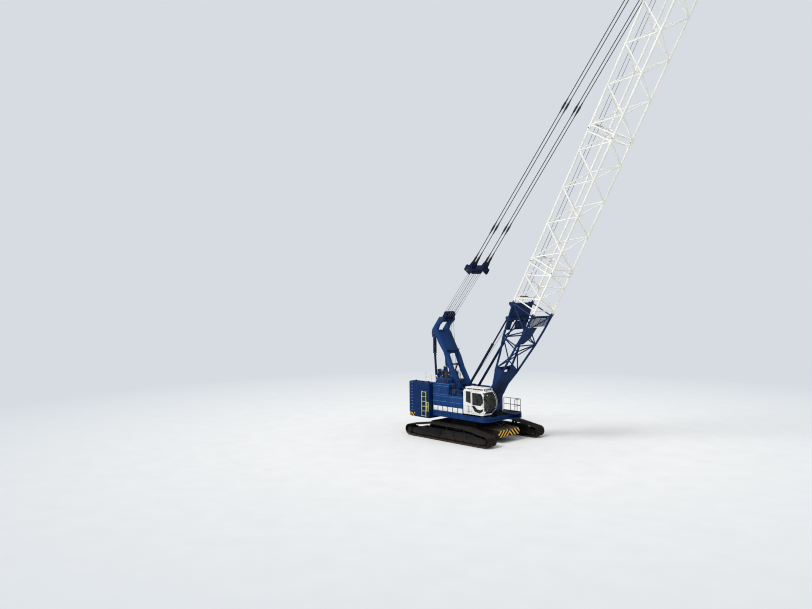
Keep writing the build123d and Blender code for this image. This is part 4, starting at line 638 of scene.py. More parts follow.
HOUSE_Y, HOUSE_REAR = 1.74, -2.4
BAND_LOW, BAND_HIGH = 1.85, 2.17
HOUSE_ROWS = (
    # side, door edges in x, lower z, upper z, kind
    ("right", (-2.39, -1.61, -0.83, -0.19, 0.46), 2.22, 2.84, "skin"),
    ("right", (-2.34, -1.59, -0.86), 2.93, 3.74, "frame"),
    ("left", (-2.39, -1.53, -0.68, 0.15, 1.21), 2.22, 2.8, "skin"),
    ("left", (-2.39, -1.53, -0.68, 0.1), 2.88, 3.34, "skin"),
)
for side, out in (("right", -1), ("left", 1)):
    skins, trims = bmesh.new(), bmesh.new()
    for row_side, edges, low, high, kind in HOUSE_ROWS:
        if row_side == side:
            for x0, x1 in zip(edges, edges[1:]):
                door(skins, trims, x0 + 0.012, x1 - 0.012, low, high, out * HOUSE_Y, out, kind)
    if side == "right":
        for x0, x1 in ((-2.18, -1.7), (-1.48, -1.0)):
            hoods(skins, x0 - 0.02, x1 + 0.02, [3.08 + 0.08 * k for k in range(7)], -HOUSE_Y, -1)
    else:
        for x0, x1 in ((-2.3, -1.65), (-1.42, -0.8), (-0.55, 0.0)):
            hoods(skins, x0, x1, [2.96 + 0.06 * k for k in range(5)], 1.756, 1)
    piece(f"housing_doors_{side}", skins, "upperworks", house_blue)
    piece(f"door_fittings_{side}", trims, "upperworks", black_trim)
bm = bmesh.new()
for out, x_end, count in ((-1, 0.5, 6), (1, 1.24, 8)):
    width = (x_end - HOUSE_REAR) / count
    y = out * HOUSE_Y
    for k in range(count):
        x0 = HOUSE_REAR + k * width + 0.035
        x1 = HOUSE_REAR + (k + 1) * width - 0.035
        plate(bm, [(x0, y, BAND_LOW), (x1, y, BAND_LOW), (x1, y, BAND_HIGH), (x0, y, BAND_HIGH)],
              (0, out * 0.014, 0), soften=0.005)
piece("white_band", bm, "upperworks", band_white)
# Thin pale blue strips along the housing sides: painted highlights on the bent edges of the sheets.
bm = bmesh.new()
for x0, x1, y, z in ((-2.41, 0.49, -1.744, 2.885), (-2.41, -0.83, -1.744, 3.79),
                     (-2.41, -0.83, -1.76, 3.02), (-2.41, -0.83, -1.76, 3.63),
                     (-0.8, 0.49, -1.72, 2.98), (-2.41, 0.49, -1.76, 2.52), (-2.41, 1.24, 1.744, 2.84),
                     (-2.41, 0.14, 1.744, 3.42)):
    block(bm, (x0, y - 0.012, z - 0.018), (x1, y + 0.012, z + 0.018), soften=0.005)
piece("housing_edge_highlights", bm, "upperworks", highlight_blue)

# Exhaust, air intake and pump drive on the right housing's roofs: a bright sleeve round the tail
# pipe, a grille over the intake, and the pumps' drums with their flanges and bent hoses.


def skin_over(bm, rings):
    """Faces between each ring of corners and the next."""
    for here, after in zip(rings, rings[1:]):
        count = len(here)
        for k in range(count):
            bm.faces.new((here[k], here[(k + 1) % count], after[(k + 1) % count], after[k]))


def hose(bm, points, radius, sides=12):
    """A round tube bent along points, closed at both ends."""
    points = [Vector(point) for point in points]
    rings = []
    for i, at in enumerate(points):
        way = (points[min(i + 1, len(points) - 1)] - points[max(i - 1, 0)]).normalized()
        aside = way.cross(Vector((0.31, 0.86, 0.41))).normalized()
        over = aside.cross(way)
        turns = [2 * pi * k / sides for k in range(sides)]
        rings.append([bm.verts.new(at + (aside * cos(turn) + over * sin(turn)) * radius)
                      for turn in turns])
    skin_over(bm, rings)
    bm.faces.new(rings[0])
    bm.faces.new(rings[-1])


def rounded(points, cut, steps=5):
    """The points of a line whose corners are bent round, starting so far from each corner."""
    points = [Vector(point) for point in points]
    line = [points[0]]
    for before, at, after in zip(points, points[1:], points[2:]):
        first = at + (before - at).normalized() * cut
        last = at + (after - at).normalized() * cut
        for k in range(steps + 1):
            share = k / steps
            line.append(first.lerp(at, share).lerp(at.lerp(last, share), share))
    return line + [points[-1]]


def sleeve(bm, x, y, low, high, outer, inner, sides=28):
    """An upright tube with an open bore."""
    turns = [2 * pi * k / sides for k in range(sides)]
    rings = [[bm.verts.new((x + reach * cos(turn), y + reach * sin(turn), z)) for turn in turns]
             for z, reach in ((low, inner), (low, outer), (high, outer), (high, inner))]
    skin_over(bm, rings + rings[:1])


soot_steel = coat("soot_steel", rgb(92, 84, 78), metallic=0.6, bump=0.006, Roughness=0.55, Dirt=0.7,
                  Dirt_Colour=rgb(36, 32, 30), Chips=0.4, Chip_Colour=rgb(120, 72, 44))
TAIL_PIPE = (-1.35, -1.43)
bm = bmesh.new()
sleeve(bm, *TAIL_PIPE, 4.17, 4.69, 0.083, 0.0755)
for z in (4.24, 4.6):
    sleeve(bm, *TAIL_PIPE, z, z + 0.03, 0.09, 0.08)
piece("tail_pipe", bm, "upperworks", soot_steel)
bm = bmesh.new()
for x, z, radius in ((-0.56, 3.23, 0.214), (-0.12, 3.13, 0.144)):
    axle(bm, x, z, -1.604, -1.206, radius, 36, soften=0.012)
    for y in (-1.57, -1.41, -1.24):
        axle(bm, x, z, y - 0.012, y + 0.012, radius + 0.014, 36, soften=0.004)
    axle(bm, x, z, -1.63, -1.6, 0.55 * radius, 28, soften=0.006)
    bolt_ring(bm, x, z, 0.8 * radius, 8, -1.615, -1.6, 0.012)
for low, high in (((0.02, -1.62, 2.98), (0.34, -1.2, 3.16)), ((0.08, -1.56, 3.16), (0.22, -1.3, 3.3)),
                  ((-0.3, -1.16, 2.98), (0.1, -0.86, 3.34)),
                  ((-0.78, -1.14, 2.98), (-0.42, -0.8, 3.56))):
    block(bm, low, high, soften=0.015)
piece("pump_drive", bm, "upperworks", frame_blue)
bm = bmesh.new()
for y, lift in ((-1.52, 0.0), (-1.4, 0.05), (-1.29, 0.0)):
    hose(bm, rounded([(-0.6, y, 3.36), (-0.66, y, 3.62 + lift), (-0.84, y, 3.68 + lift)], 0.12), 0.032)
    hose(bm, rounded([(-0.38, y, 3.2), (-0.2, y, 3.4 + lift), (-0.1, y, 3.22)], 0.1), 0.026)
PUMP_HOSES = [(k, -0.72 + 0.17 * k, -1.66 + 0.05 * (k % 3)) for k in range(7)]
for k, x, y in PUMP_HOSES:
    bends = [(x, y, 2.97), (x - 0.03, y, 3.36 + 0.07 * (k % 2)),
             (x + 0.2, y + 0.07, 3.44 - 0.05 * (k % 3)), (x + 0.24, y + 0.1, 2.97)]
    hose(bm, rounded(bends, 0.09), 0.017, 8)
hose(bm, rounded([(-0.1, -1.45, 3.22), (0.12, -1.45, 3.3), (0.24, -1.4, 3.1), (0.26, -1.4, 2.96)],
                 0.08), 0.03)
piece("pump_hoses", bm, "upperworks", black_trim)
bm = bmesh.new()
for k, x, y in PUMP_HOSES:
    rod(bm, (x, y, 2.975), (x - 0.004, y, 3.06), 0.023, 12, soften=0.003)
    rod(bm, (x + 0.24, y + 0.1, 2.975), (x + 0.237, y + 0.098, 3.06), 0.023, 12, soften=0.003)
piece("hose_ends", bm, "upperworks", pin_steel)
bm = bmesh.new()
for k in range(6):
    z = 3.87 + 0.04 * k
    block(bm, (-2.02, -1.612, z), (-1.2, -1.596, z + 0.018), soften=0.003)
for x in (-2.06, -1.62, -1.18):
    block(bm, (x - 0.015, -1.616, 3.85), (x + 0.015, -1.598, 4.1), soften=0.003)
for x, y, z in ((-0.6, 1.4, 3.45), (0.5, 1.45, 2.95), (-1.7, 1.4, 3.45)):
    post(bm, x, y, z, z + 0.07, 0.07, 20, soften=0.008)
block(bm, (-2.1, 1.2, 3.45), (-1.2, 1.65, 3.5), soften=0.02)
piece("roof_fittings", bm, "upperworks", black_trim)

# Winches. Grooved drums between flanges, with the hoist rope and the luffing rope wound on in
# close turns. The drum gears run inside the drums; the brake housings stand outside the frames.
rope_dark = coat("rope_dark", rgb(58, 56, 54), metallic=0.6, bump=0.004, Roughness=0.5, Dirt=0.6,
                 Dirt_Colour=rgb(34, 30, 27), Chips=0.0)
for name in ("winch_hoist", "winch_luffing"):
    fit(nodes[name], frame_blue)
HOIST_X, LUFFING_X, WINCH_Z = -1.18, -2.08, 2.25
ROPE_LAY, STEPS_A_TURN = 0.79, 24
WOUND = (("hoist", HOIST_X, 0.25, 0.012, 32), ("luffing", LUFFING_X, 0.23, 0.01, 38))
for label, x, radius, rope, turns in WOUND:
    bm = bmesh.new()
    steps = turns * STEPS_A_TURN
    first_lay = Matrix.Translation((x, -ROPE_LAY / 2, WINCH_Z + radius + rope))
    bmesh.ops.create_circle(bm, cap_ends=False, segments=8, radius=rope,
                            matrix=first_lay @ Matrix.Rotation(radians(90), 4, "X"))
    bm.edges.ensure_lookup_table()
    bmesh.ops.spin(bm, geom=list(bm.edges), cent=(x, 0, WINCH_Z), axis=(0, 1, 0), angle=2 * pi * turns,
                   dvec=(0, ROPE_LAY / steps, 0), steps=steps, use_merge=False)
    piece(f"rope_on_{label}_winch", bm, "upperworks", rope_dark)
bm = bmesh.new()
for x in (HOIST_X, LUFFING_X):
    for side in (-1, 1):
        axle(bm, x, WINCH_Z, side * 0.47, side * 0.56, 0.2, 32, soften=0.015)
        axle(bm, x, WINCH_Z, side * 0.56, side * 0.66, 0.12, 28, soften=0.012)
        bolt_ring(bm, x, WINCH_Z, 0.17, 10, side * 0.56, side * 0.575, 0.014)
piece("winch_gearboxes", bm, "upperworks", frame_black)

# Counterweight. Ten cast slabs on each end of a steel base tray, their edges ribbed and their
# corners chamfered. Lifting lugs stand on top, and the tray's corners carry warning stripes.
BALLAST_BLUE = rgb(0, 44, 98)
STRIPES_A_METRE, STRIPE_SHARE = 3.4, 0.36
STRIPES_UNDER, STRIPES_BEHIND = 1.475, -4.0


def tray_stripes(tree, spot, colour):
    """Slanted yellow bands on the rear corners of the tray and the lowest slab."""
    parts = add(tree, "ShaderNodeSeparateXYZ", {0: spot})
    aside = calc(tree, "ABSOLUTE", parts.outputs[1], 0.0)
    slant = calc(tree, "ADD", calc(tree, "ADD", parts.outputs[0], aside), parts.outputs[2])
    repeat = calc(tree, "FRACT", calc(tree, "MULTIPLY", slant, STRIPES_A_METRE), 0.0)
    band = calc(tree, "LESS_THAN", repeat, STRIPE_SHARE)
    low = calc(tree, "LESS_THAN", parts.outputs[2], STRIPES_UNDER)
    rear = calc(tree, "LESS_THAN", parts.outputs[0], STRIPES_BEHIND)
    stripe = calc(tree, "MULTIPLY", calc(tree, "MULTIPLY", band, low), rear)
    ground = mix(tree, calc(tree, "MULTIPLY", low, rear), colour, rgb(14, 14, 17))
    return mix(tree, stripe, ground, CHEVRON_YELLOW)


ballast_blue = coat("ballast_blue", BALLAST_BLUE, bump=0.012, gloss=0.03, tint=tray_stripes,
                    Roughness=0.48, Dirt=0.2, Dirt_Colour=rgb(14, 26, 50), Streaks=0.2, Top_Dust=0.25,
                    Chips=0.12, Fade=0.006)
for name in ("counterweight_base", "counterweight_stack_right", "counterweight_stack_left"):
    fit(nodes[name], ballast_blue)
SLABS, SLAB_FOOT, SLAB_TOP, SLAB_Y = 10, 1.48, 3.75, 1.59
SLAB_PITCH = (SLAB_TOP - SLAB_FOOT) / SLABS
SLAB_HEIGHTS = [SLAB_FOOT + (k + 0.5) * SLAB_PITCH + 0.008 for k in range(SLABS)]
bm = bmesh.new()
for side in (-1, 1):
    for z in SLAB_HEIGHTS:
        for x in (-4.15, -2.66) if side < 0 else (-4.15, -3.4, -2.66):
            block(bm, (x - 0.06, side * 2.045, z - 0.055), (x + 0.06, side * 2.062, z + 0.055),
                  soften=0.01)
        block(bm, (-4.861, side * 1.35 - 0.07, z - 0.055), (-4.84, side * 1.35 + 0.07, z + 0.055),
              soften=0.0)
    y = side * SLAB_Y
    for x in (-4.3, -3.0):
        axle(bm, x, 3.82, y - 0.05, y + 0.05, 0.022, 14, soften=0.004)
        block(bm, (x - 0.12, y - 0.06, 3.74), (x + 0.12, y + 0.06, 3.765), soften=0.006)
    for x, top, radius, sides, soften in ((-3.62, 3.8, 0.11, 24, 0.01), (-4.0, 3.79, 0.055, 18, 0.008),
                                          (-3.3, 3.79, 0.055, 18, 0.008)):
        post(bm, x, y, 3.74, top, radius, sides, soften)
piece("slab_lugs", bm, "upperworks", ballast_blue)
# The slab keys are in the pale highlight blue: painted highlights on the slabs' edges.
bm = bmesh.new()
for side in (-1, 1):
    for z in SLAB_HEIGHTS:
        block(bm, (-4.37, side * 2.046, z + 0.03), (-4.17, side * 2.058, z + 0.075), soften=0.006)
piece("slab_keys", bm, "upperworks", highlight_blue)
bm = bmesh.new()
for side in (-1, 1):
    y = side * 1.28
    for x, z in ((-3.6, 4.46), (-3.05, 4.36), (-2.56, 4.27)):
        post(bm, x, y, 3.75, z, 0.018, 10)
    hose(bm, rounded([(-3.62, y, 4.1), (-3.62, y, 4.47), (-2.42, y, 4.25), (-2.42, y, 3.76)], 0.1),
         0.028, 14)
    hose(bm, [(-3.62, y, 4.12), (-2.44, y, 3.98)], 0.02)
piece("slab_rails", bm, "upperworks", band_white)

# A-frame. Two bent box legs pinned to the deck, plated together above, with a sheave head that
# leans back. Two struts hold it to the tail of the deck, thick sleeves above and bars below.
# Near-black navy: the blue paint darkened as painted shade, for the A-frame's struts, the foot's
# grating and web plate, the spreader, the cradle and the back-stops.
shaded_navy = coat("shaded_navy", rgb(4, 28, 66), bump=0.006, gloss=0.03, Roughness=0.45, Dirt=0.3,
            Dirt_Colour=rgb(40, 30, 38), Streaks=0.3, Top_Dust=0.2, Chips=0.3, Fade=0.01)
fit(nodes["a_frame"], frame_blue)
# The struts take the near-black navy: painted shade.
fit(nodes["a_frame_struts"], shaded_navy)
LEG_Y = 0.58
HEAD_PIN, STRUT_PIN = (-2.6, 8.4), (-3.33, 7.28)
LEG_FRONT = ((-0.16, 2.6), (-1.5, 4.9), (-1.8, 5.65), (-2.36, 6.56), (-2.78, 7.33), (-2.98, 7.62),
             (-2.83, 7.95), (-2.42, 8.29))
LEG_BACK = ((-0.52, 2.6), (-1.93, 4.96), (-2.34, 5.98), (-2.92, 6.75), (-3.06, 7.18))
bm = bmesh.new()
for side in (-1, 1):
    y = side * LEG_Y
    for z in (5.84, 6.3, 6.94):
        post(bm, -3.31, y, z, z + 0.06, 0.142, 32, soften=0.008)
    for x, z in ((-3.03, 2.05), (-3.09, 3.1), (-3.17, 4.4), (-3.24, 5.7)):
        rod(bm, (x, y, z), (x - 0.003, y, z + 0.05), 0.096, 28, soften=0.006)
    for x, z in ((-3.02, 1.98), (-3.31, 7.04)):
        axle(bm, x, z, y - 0.13, y + 0.13, 0.05, 22, soften=0.006)
    for x, z in (HEAD_PIN, STRUT_PIN):
        axle(bm, x, z, side * 0.685, side * 0.712, 0.13, 32, soften=0.008)
        axle(bm, x, z, side * 0.705, side * 0.73, 0.0585, 20, soften=0.005)
        bolt_ring(bm, x, z, 0.1014, 8, side * 0.7, side * 0.722, 0.01)
    axle(bm, *A_FRAME_PIN, side * 0.44, side * 0.72, 0.058, 24, soften=0.006)
piece("a_frame_pins", bm, "upperworks", pin_steel)
bm = bmesh.new()
for side in (-1, 1):
    for edge, way in ((LEG_FRONT, 1), (LEG_BACK, -1)):
        for (x0, z0), (x1, z1) in zip(edge, edge[1:]):
            length = hypot(x1 - x0, z1 - z0)
            turn = Matrix.Rotation(-atan2(z1 - z0, x1 - x0), 4, "Y")
            inward = Vector((z0 - z1, 0.0, x1 - x0)) * way * 0.026 / length
            mid = Vector(((x0 + x1) / 2, side * 0.692, (z0 + z1) / 2)) + inward
            half = Vector((length / 2, 0.007, 0.02))
            block(bm, mid - half, mid + half, 0.004, turn)
    slant = Matrix.Rotation(radians(30), 4, "Y")
    for x, z in ((-0.72, 3.32), (-1.1, 3.95), (-1.46, 4.55)):
        block(bm, (x - 0.2, side * 0.688, z - 0.012), (x + 0.2, side * 0.7, z + 0.012), 0.003, slant)
piece("a_frame_edges", bm, "upperworks", frame_blue)

# Raising gear. Two hydraulic cylinders stand between the A-frame's legs: a barrel on a bracket
# at the tail of the deck, a chromed rod pinned to a cross tube, and rubber hoses in clamps.
CYLINDER_Y = 0.3
ROD_PIN = (-1.84, 5.06)
bm = bmesh.new()
for y in (-CYLINDER_Y, CYLINDER_Y):
    rod(bm, (-2.9, y, 2.1), (-2.24, y, 4.2), 0.11, 28, soften=0.01)
    rod(bm, (-2.24, y, 4.2), (-2.19, y, 4.31), 0.125, 28, soften=0.008)
    block(bm, (-3.02, y - 0.12, 1.79), (-2.78, y + 0.12, 2.2), soften=0.02)
axle(bm, *ROD_PIN, -0.47, 0.47, 0.06, 20)
CYLINDER_PLATES = (
    ((-2.96, 1.8), (-1.96, 1.8), (-1.7, 3.7), (-1.96, 4.5), (-2.2, 4.5), (-2.0, 3.7), (-2.2, 2.0),
     (-2.96, 2.0)),
    ((-2.96, 2.0), (-2.76, 2.0), (-2.7, 4.1), (-2.46, 4.5), (-2.6, 4.66), (-2.92, 4.3)),
    ((-2.75, 3.1), (-2.04, 3.1), (-2.02, 3.34), (-2.74, 3.34)),
)
for side in (-1, 1):
    low = min(side * 0.4, side * 0.425)
    for outline in CYLINDER_PLATES:
        plate(bm, [(x, low, z) for x, z in outline], (0, 0.025, 0), soften=0.004)
    for x, z, radius in ((-2.42, 2.62, 0.24), (-2.36, 3.86, 0.3)):
        axle(bm, x, z, side * 0.4, side * 0.46, radius, 32, soften=0.01)
        axle(bm, x, z, side * 0.46, side * 0.5, 0.45 * radius, 24, soften=0.008)
piece("raising_cylinders", bm, "upperworks", frame_blue)
bm = bmesh.new()
for y in (-CYLINDER_Y, CYLINDER_Y):
    rod(bm, (-2.19, y, 4.31), (-1.86, y, 5.02), 0.055, 24, soften=0.006)
    axle(bm, *ROD_PIN, y - 0.08, y + 0.08, 0.085, 24, soften=0.006)
piece("raising_rods", bm, "upperworks", pin_steel)
bm = bmesh.new()
for y in (-0.4, 0.4):
    bends = [(-2.72, y, 1.79), (-2.5, y, 2.7), (-2.1, y, 4.05), (-2.2, y * 0.9, 4.25)]
    hose(bm, rounded(bends, 0.15), 0.014, 8)
RAISING_HOSES = [(k, -2.82 + 0.17 * k, side * (0.47 + 0.03 * (k % 2))) for side in (-1, 1)
                 for k in range(6)]
for k, x, y in RAISING_HOSES:
    bends = [(x, y, 2.4 + 0.2 * (k % 3)), (x + 0.03, y, 4.3 + 0.12 * (k % 3)),
             (x + 0.22, y, 4.56 + 0.08 * (k % 2)), (x + 0.2, y, 3.4 + 0.15 * k)]
    hose(bm, rounded(bends, 0.12), 0.016, 8)
piece("raising_hoses", bm, "upperworks", black_trim)
bm = bmesh.new()
for k, x, y in RAISING_HOSES:
    for z in (3.0 + 0.2 * (k % 3), 4.02 + 0.12 * (k % 3)):
        rod(bm, (x + 0.01 * (z - 2.4), y, z), (x + 0.01 * (z - 2.3), y, z + 0.1), 0.024, 10,
            soften=0.003)
piece("hose_clamps", bm, "upperworks", band_white)

# Tail unit. A welded stand on the deck's tail, behind the winches, carries the hydraulic tank,
# valve blocks and accumulators, with bright caps and unions on them.
bm = bmesh.new()
for y in (-0.38, 0.38):
    for x in (-3.3, -2.8):
        block(bm, (x - 0.04, y - 0.04, 1.8), (x + 0.04, y + 0.04, 3.2), soften=0.006)
TAIL_BOXES = (
    # rear, right, low, front, left, high
    (-3.38, -0.43, 3.15, -2.74, 0.43, 3.62), (-3.34, -0.4, 3.66, -2.78, 0.1, 4.2),
    (-3.3, 0.14, 3.66, -2.86, 0.4, 4.45), (-3.28, -0.36, 4.2, -3.04, -0.08, 4.62),
    (-2.98, -0.3, 4.2, -2.8, 0.02, 4.4),
)
ACCUMULATORS = ((-3.16, 0.27, 4.45), (-2.98, 0.27, 4.45), (-2.88, -0.34, 4.2))
ACCUMULATOR_HIGH = 0.34
for x0, y0, z0, x1, y1, z1 in TAIL_BOXES:
    block(bm, (x0, y0, z0), (x1, y1, z1), soften=0.02)
    for z in (z0 + 0.06, z1 - 0.08):
        block(bm, (x0 - 0.012, y0 - 0.012, z), (x1 + 0.012, y1 + 0.012, z + 0.03), soften=0.004)
for x, y, z in ACCUMULATORS:
    post(bm, x, y, z, z + ACCUMULATOR_HIGH, 0.065, 24, soften=0.025)
piece("tail_unit", bm, "upperworks", frame_blue)
bm = bmesh.new()
capped = [(x, y, z + ACCUMULATOR_HIGH) for x, y, z in ACCUMULATORS]
for x, y, z in capped + [(-3.16, -0.22, 4.62), (-2.89, -0.14, 4.4)]:
    post(bm, x, y, z - 0.005, z + 0.05, 0.04, 16, soften=0.008)
for x, z in ((-3.28, 3.5), (-3.1, 3.36), (-2.92, 3.5), (-3.22, 3.8), (-3.0, 3.96), (-2.86, 3.76),
             (-3.16, 4.4)):
    reach = 0.37 if z > 4.2 else 0.41 if z > 3.65 else 0.44
    axle(bm, x, z, -reach - 0.03, 0.03 - reach, 0.032, 14, soften=0.006)
piece("tail_unions", bm, "upperworks", band_white)

# Cab. A pressed steel shell painted white, with black rubber round its panes, tinted glass, a
# curved windscreen with its wiper, and a hinged side door.
CAB_WHITE = rgb(242, 243, 239)
cab_white = coat("cab_white", CAB_WHITE, bump=0.003, gloss=0.15, Roughness=0.35, Dirt=0.15,
                 Dirt_Colour=rgb(150, 142, 130), Streaks=0.35, Top_Dust=0.3, Chips=0.15, Fade=0.03)
rubber = coat("rubber", rgb(18, 18, 19), bump=0.002, Roughness=0.65, Dirt=0.25, Top_Dust=0.3, Chips=0.0)


def tinted(name, tone, body=0.35):
    """Tinted pane: dark glass that lets some light through, with a thin film of dust."""
    made, tree, surface = new_material(name)
    spot = add(tree, "ShaderNodeTexCoord").outputs["Object"]
    dust = add(tree, "ShaderNodeTexNoise", {"Vector": spot, "Scale": 3.5, "Detail": 7.0}).outputs["Fac"]
    film = remap(tree, dust, 0.4, 0.8, 0.04, 0.24)
    shader = add(tree, "ShaderNodeBsdfPrincipled",
                 {"Base Color": mix(tree, film, tone, rgb(150, 146, 138)),
                  "Roughness": remap(tree, dust, 0.3, 0.8, 0.03, 0.2), "IOR": 1.5, "Alpha": body,
                  "Specular IOR Level": 0.8})
    tree.links.new(shader.outputs[0], surface)
    return made


cab_pane = tinted("cab_pane", rgb(14, 20, 22), 0.8)
fit(nodes["cab_shell"], cab_white)
fit(nodes["cab_door"], cab_white)
fit(nodes["cab_glass"], cab_pane)
fit(nodes["door_glass"], cab_pane)
fit(nodes["cab_mounts"], rubber)
fit(nodes["roof_guard"], cab_white)
fit(nodes["console"], black_trim)


def gasket(bm, corners, y, half=0.012, deep=0.016):
    """Rubber round a pane in a side wall: a bead along every edge of its outline."""
    for here, after in zip(corners, corners[1:] + corners[:1]):
        rod(bm, (here[0], y - deep / 2, here[1]), (after[0], y - deep / 2, after[1]), half, 8)
        axle(bm, here[0], here[1], y - deep, y + deep, half, 8)


def grab_rail(bm, x, y, low, high, radius):
    """An upright rail on the cab's side, its ends bent in to the wall."""
    ends = [(x, -1.745, low), (x, y, low), (x, y, high), (x, -1.745, high)]
    hose(bm, rounded(ends, 0.03), radius, 10)


CAB_SIDE = -1.75
PANE_FRAME = (2.8, 3.38)
DOOR_PANE = [(1.41, 2.56), (2.14, 2.56), (2.33, 2.76), (2.33, 3.16), (2.18, 3.38), (1.41, 3.38)]
LOWER_PANE = [(1.4, 2.46), (1.64, 2.14), (2.08, 2.05), (2.33, 2.23), (2.34, 2.33), (2.14, 2.23),
              (1.83, 2.26), (1.56, 2.49)]
REAR_SLIT = [(0.82, 2.74), (1.23, 2.65), (1.23, 3.45), (0.82, 3.45)]
INNER_PANE = [(0.76, 2.6), (2.5, 2.6), (2.56, 2.8), (2.5, 3.2), (2.3, 3.44), (0.76, 3.44)]
bm = bmesh.new()
gasket(bm, DOOR_PANE, CAB_SIDE)
gasket(bm, LOWER_PANE, CAB_SIDE, 0.028)
for x0, z0, x1, z1 in ((1.31, 1.96, 2.26, 1.96), (1.31, 3.53, 2.25, 3.53), (1.31, 1.96, 1.31, 3.53),
                       (2.44, 2.18, 2.44, 3.25), (2.26, 1.96, 2.44, 2.18), (2.25, 3.53, 2.44, 3.25)):
    rod(bm, (x0, -1.748, z0), (x1, -1.748, z1), 0.006, 8)
piece("door_seals", bm, "cab_door", rubber)
bm = bmesh.new()
for z in (2.66, 2.84):
    axle(bm, 2.24, z, -1.755, -1.79, 0.012, 12)
post(bm, 2.24, -1.79, 2.64, 2.86, 0.013, 12, soften=0.004)
grab_rail(bm, 2.385, -1.79, 2.45, 3.05, 0.011)
piece("door_handles", bm, "cab_door", black_trim)
bm = bmesh.new()
gasket(bm, REAR_SLIT, CAB_SIDE)
gasket(bm, INNER_PANE, -0.834)
for y in (-1.59, -0.99):
    post(bm, 0.556, y, *PANE_FRAME, 0.012, 8)
for z in PANE_FRAME:
    axle(bm, 0.556, z, -1.59, -0.99, 0.012, 8)
axle(bm, 2.31, 3.6, -1.72, -0.86, 0.01, 8)


CHIN_TOP, BROW_FOOT = 2.28, 3.33
SCREEN_CENTRE, SCREEN_RADIUS = (2.0133, 2.785), 0.8767


def front_line(low, high, steps=14):
    """Points (x, z) up the front of the cab: sloping chin, curved screen, then the brow."""
    line = []
    for k in range(steps + 1):
        z = low + (high - low) * k / steps
        if z < CHIN_TOP:
            x = 2.33 + (z - 1.88)
        elif z < BROW_FOOT:
            x = SCREEN_CENTRE[0] + sqrt(SCREEN_RADIUS ** 2 - (z - SCREEN_CENTRE[1]) ** 2)
        else:
            x = 2.7 - (z - BROW_FOOT) * 0.26 / 0.27
        line.append((x, z))
    return line


def strip(bm, line, y0, y1, low=-0.006, high=0.004):
    """A pane bent along the front of the cab, from y0 to y1."""
    rings = []
    for x, z in line:
        ring = ((x + high, y0, z), (x + high, y1, z), (x + low, y1, z), (x + low, y0, z))
        rings.append([bm.verts.new(spot) for spot in ring])
    skin_over(bm, rings)
    bm.faces.new(rings[0])
    bm.faces.new(rings[-1])


for low, high in ((2.01, 2.25), (2.31, 3.48)):
    line = front_line(low, high)
    for y in (-1.64, -0.86):
        for here, after in zip(line, line[1:]):
            rod(bm, (here[0], y, here[1]), (after[0], y, after[1]), 0.01, 8)
    for x, z in (line[0], line[-1]):
        axle(bm, x, z, -1.64, -0.86, 0.01, 8)
for x0, x1, z in ((0.58, 1.3, 2.42), (0.58, 1.3, 2.06), (2.36, 2.46, 2.06)):
    block(bm, (x0, -1.753, z - 0.006), (x1, -1.748, z + 0.006), soften=0.0)
piece("cab_seals", bm, "upperworks", rubber)
corner_pane = tinted("corner_pane", rgb(14, 20, 22), 1.0)
bm = bmesh.new()
for y0, y1 in ((-1.752, -1.645), (-0.935, -0.862)):
    strip(bm, front_line(2.02, 3.47), y0, y1)
strip(bm, front_line(2.245, 2.315, 3), -1.645, -0.935)
curve = [(x - 0.002, z) for x, z in front_line(2.2, 3.46)]
side_pane = [(2.462, 2.2)] + curve + [(2.36, 3.46), (2.462, 3.3)]
plate(bm, [(x, -1.749, z) for x, z in side_pane], (0, -0.004, 0), soften=0.0)
piece("corner_panes", bm, "upperworks", corner_pane)

# Things fixed to the cab: the wiper, work lamps under the guard, a mirror on its arm, a grab
# rail behind the door, and the slats of the roof guard, welded to its frame.
lamp_glass, tree, surface = new_material("lamp_glass")
spot = add(tree, "ShaderNodeTexCoord").outputs["Object"]
flutes = add(tree, "ShaderNodeTexWave",
             {"Vector": spot, "Scale": 30.0, "Distortion": 0.3}).outputs["Fac"]
lens_shine = add(tree, "ShaderNodeBsdfPrincipled",
                 {"Base Color": mix(tree, flutes, rgb(196, 200, 200), rgb(236, 238, 236)),
                  "Roughness": remap(tree, flutes, 0.0, 1.0, 0.08, 0.2),
                  "Normal": add(tree, "ShaderNodeBump", {"Height": flutes,
                                                         "Distance": 0.004}).outputs[0]})
tree.links.new(lens_shine.outputs[0], surface)
LAMPS_Y = (-1.61, -0.97)
bm = bmesh.new()
for y in LAMPS_Y:
    block(bm, (2.39, y - 0.085, 3.622), (2.484, y + 0.085, 3.718), soften=0.012)
block(bm, (2.66, -1.72, 2.26), (2.76, -1.6, 2.31), soften=0.01)
rod(bm, (2.77, -1.28, 2.3), (2.905, -1.2, 2.62), 0.008, 8)
rod(bm, (2.905, -1.2, 2.6), (2.9, -1.2, 3.05), 0.01, 8)
rod(bm, (2.42, -1.77, 3.4), (2.62, -1.9, 3.3), 0.011, 10)
post(bm, 2.62, -1.9, 3.3, 2.98, 0.011, 10)
block(bm, (2.6, -1.98, 3.0), (2.635, -1.83, 3.26), soften=0.012)
grab_rail(bm, 1.1, -1.8, 1.98, 2.5, 0.012)
piece("cab_fittings", bm, "upperworks", black_trim)
bm = bmesh.new()
for y in LAMPS_Y:
    block(bm, (2.482, y - 0.07, 3.636), (2.496, y + 0.07, 3.704), soften=0.005)
piece("work_lamps", bm, "upperworks", lamp_glass)
bm = bmesh.new()
for k in range(11):
    y = -1.66 + k * 0.074
    block(bm, (0.74, y - 0.012, 3.738), (2.38, y + 0.012, 3.752), soften=0.003)
for x in (0.72, 1.26, 1.84, 2.4):
    block(bm, (x - 0.02, -1.69, 3.736), (x + 0.02, -0.89, 3.756), soften=0.004)
piece("guard_slats", bm, "upperworks", cab_white)

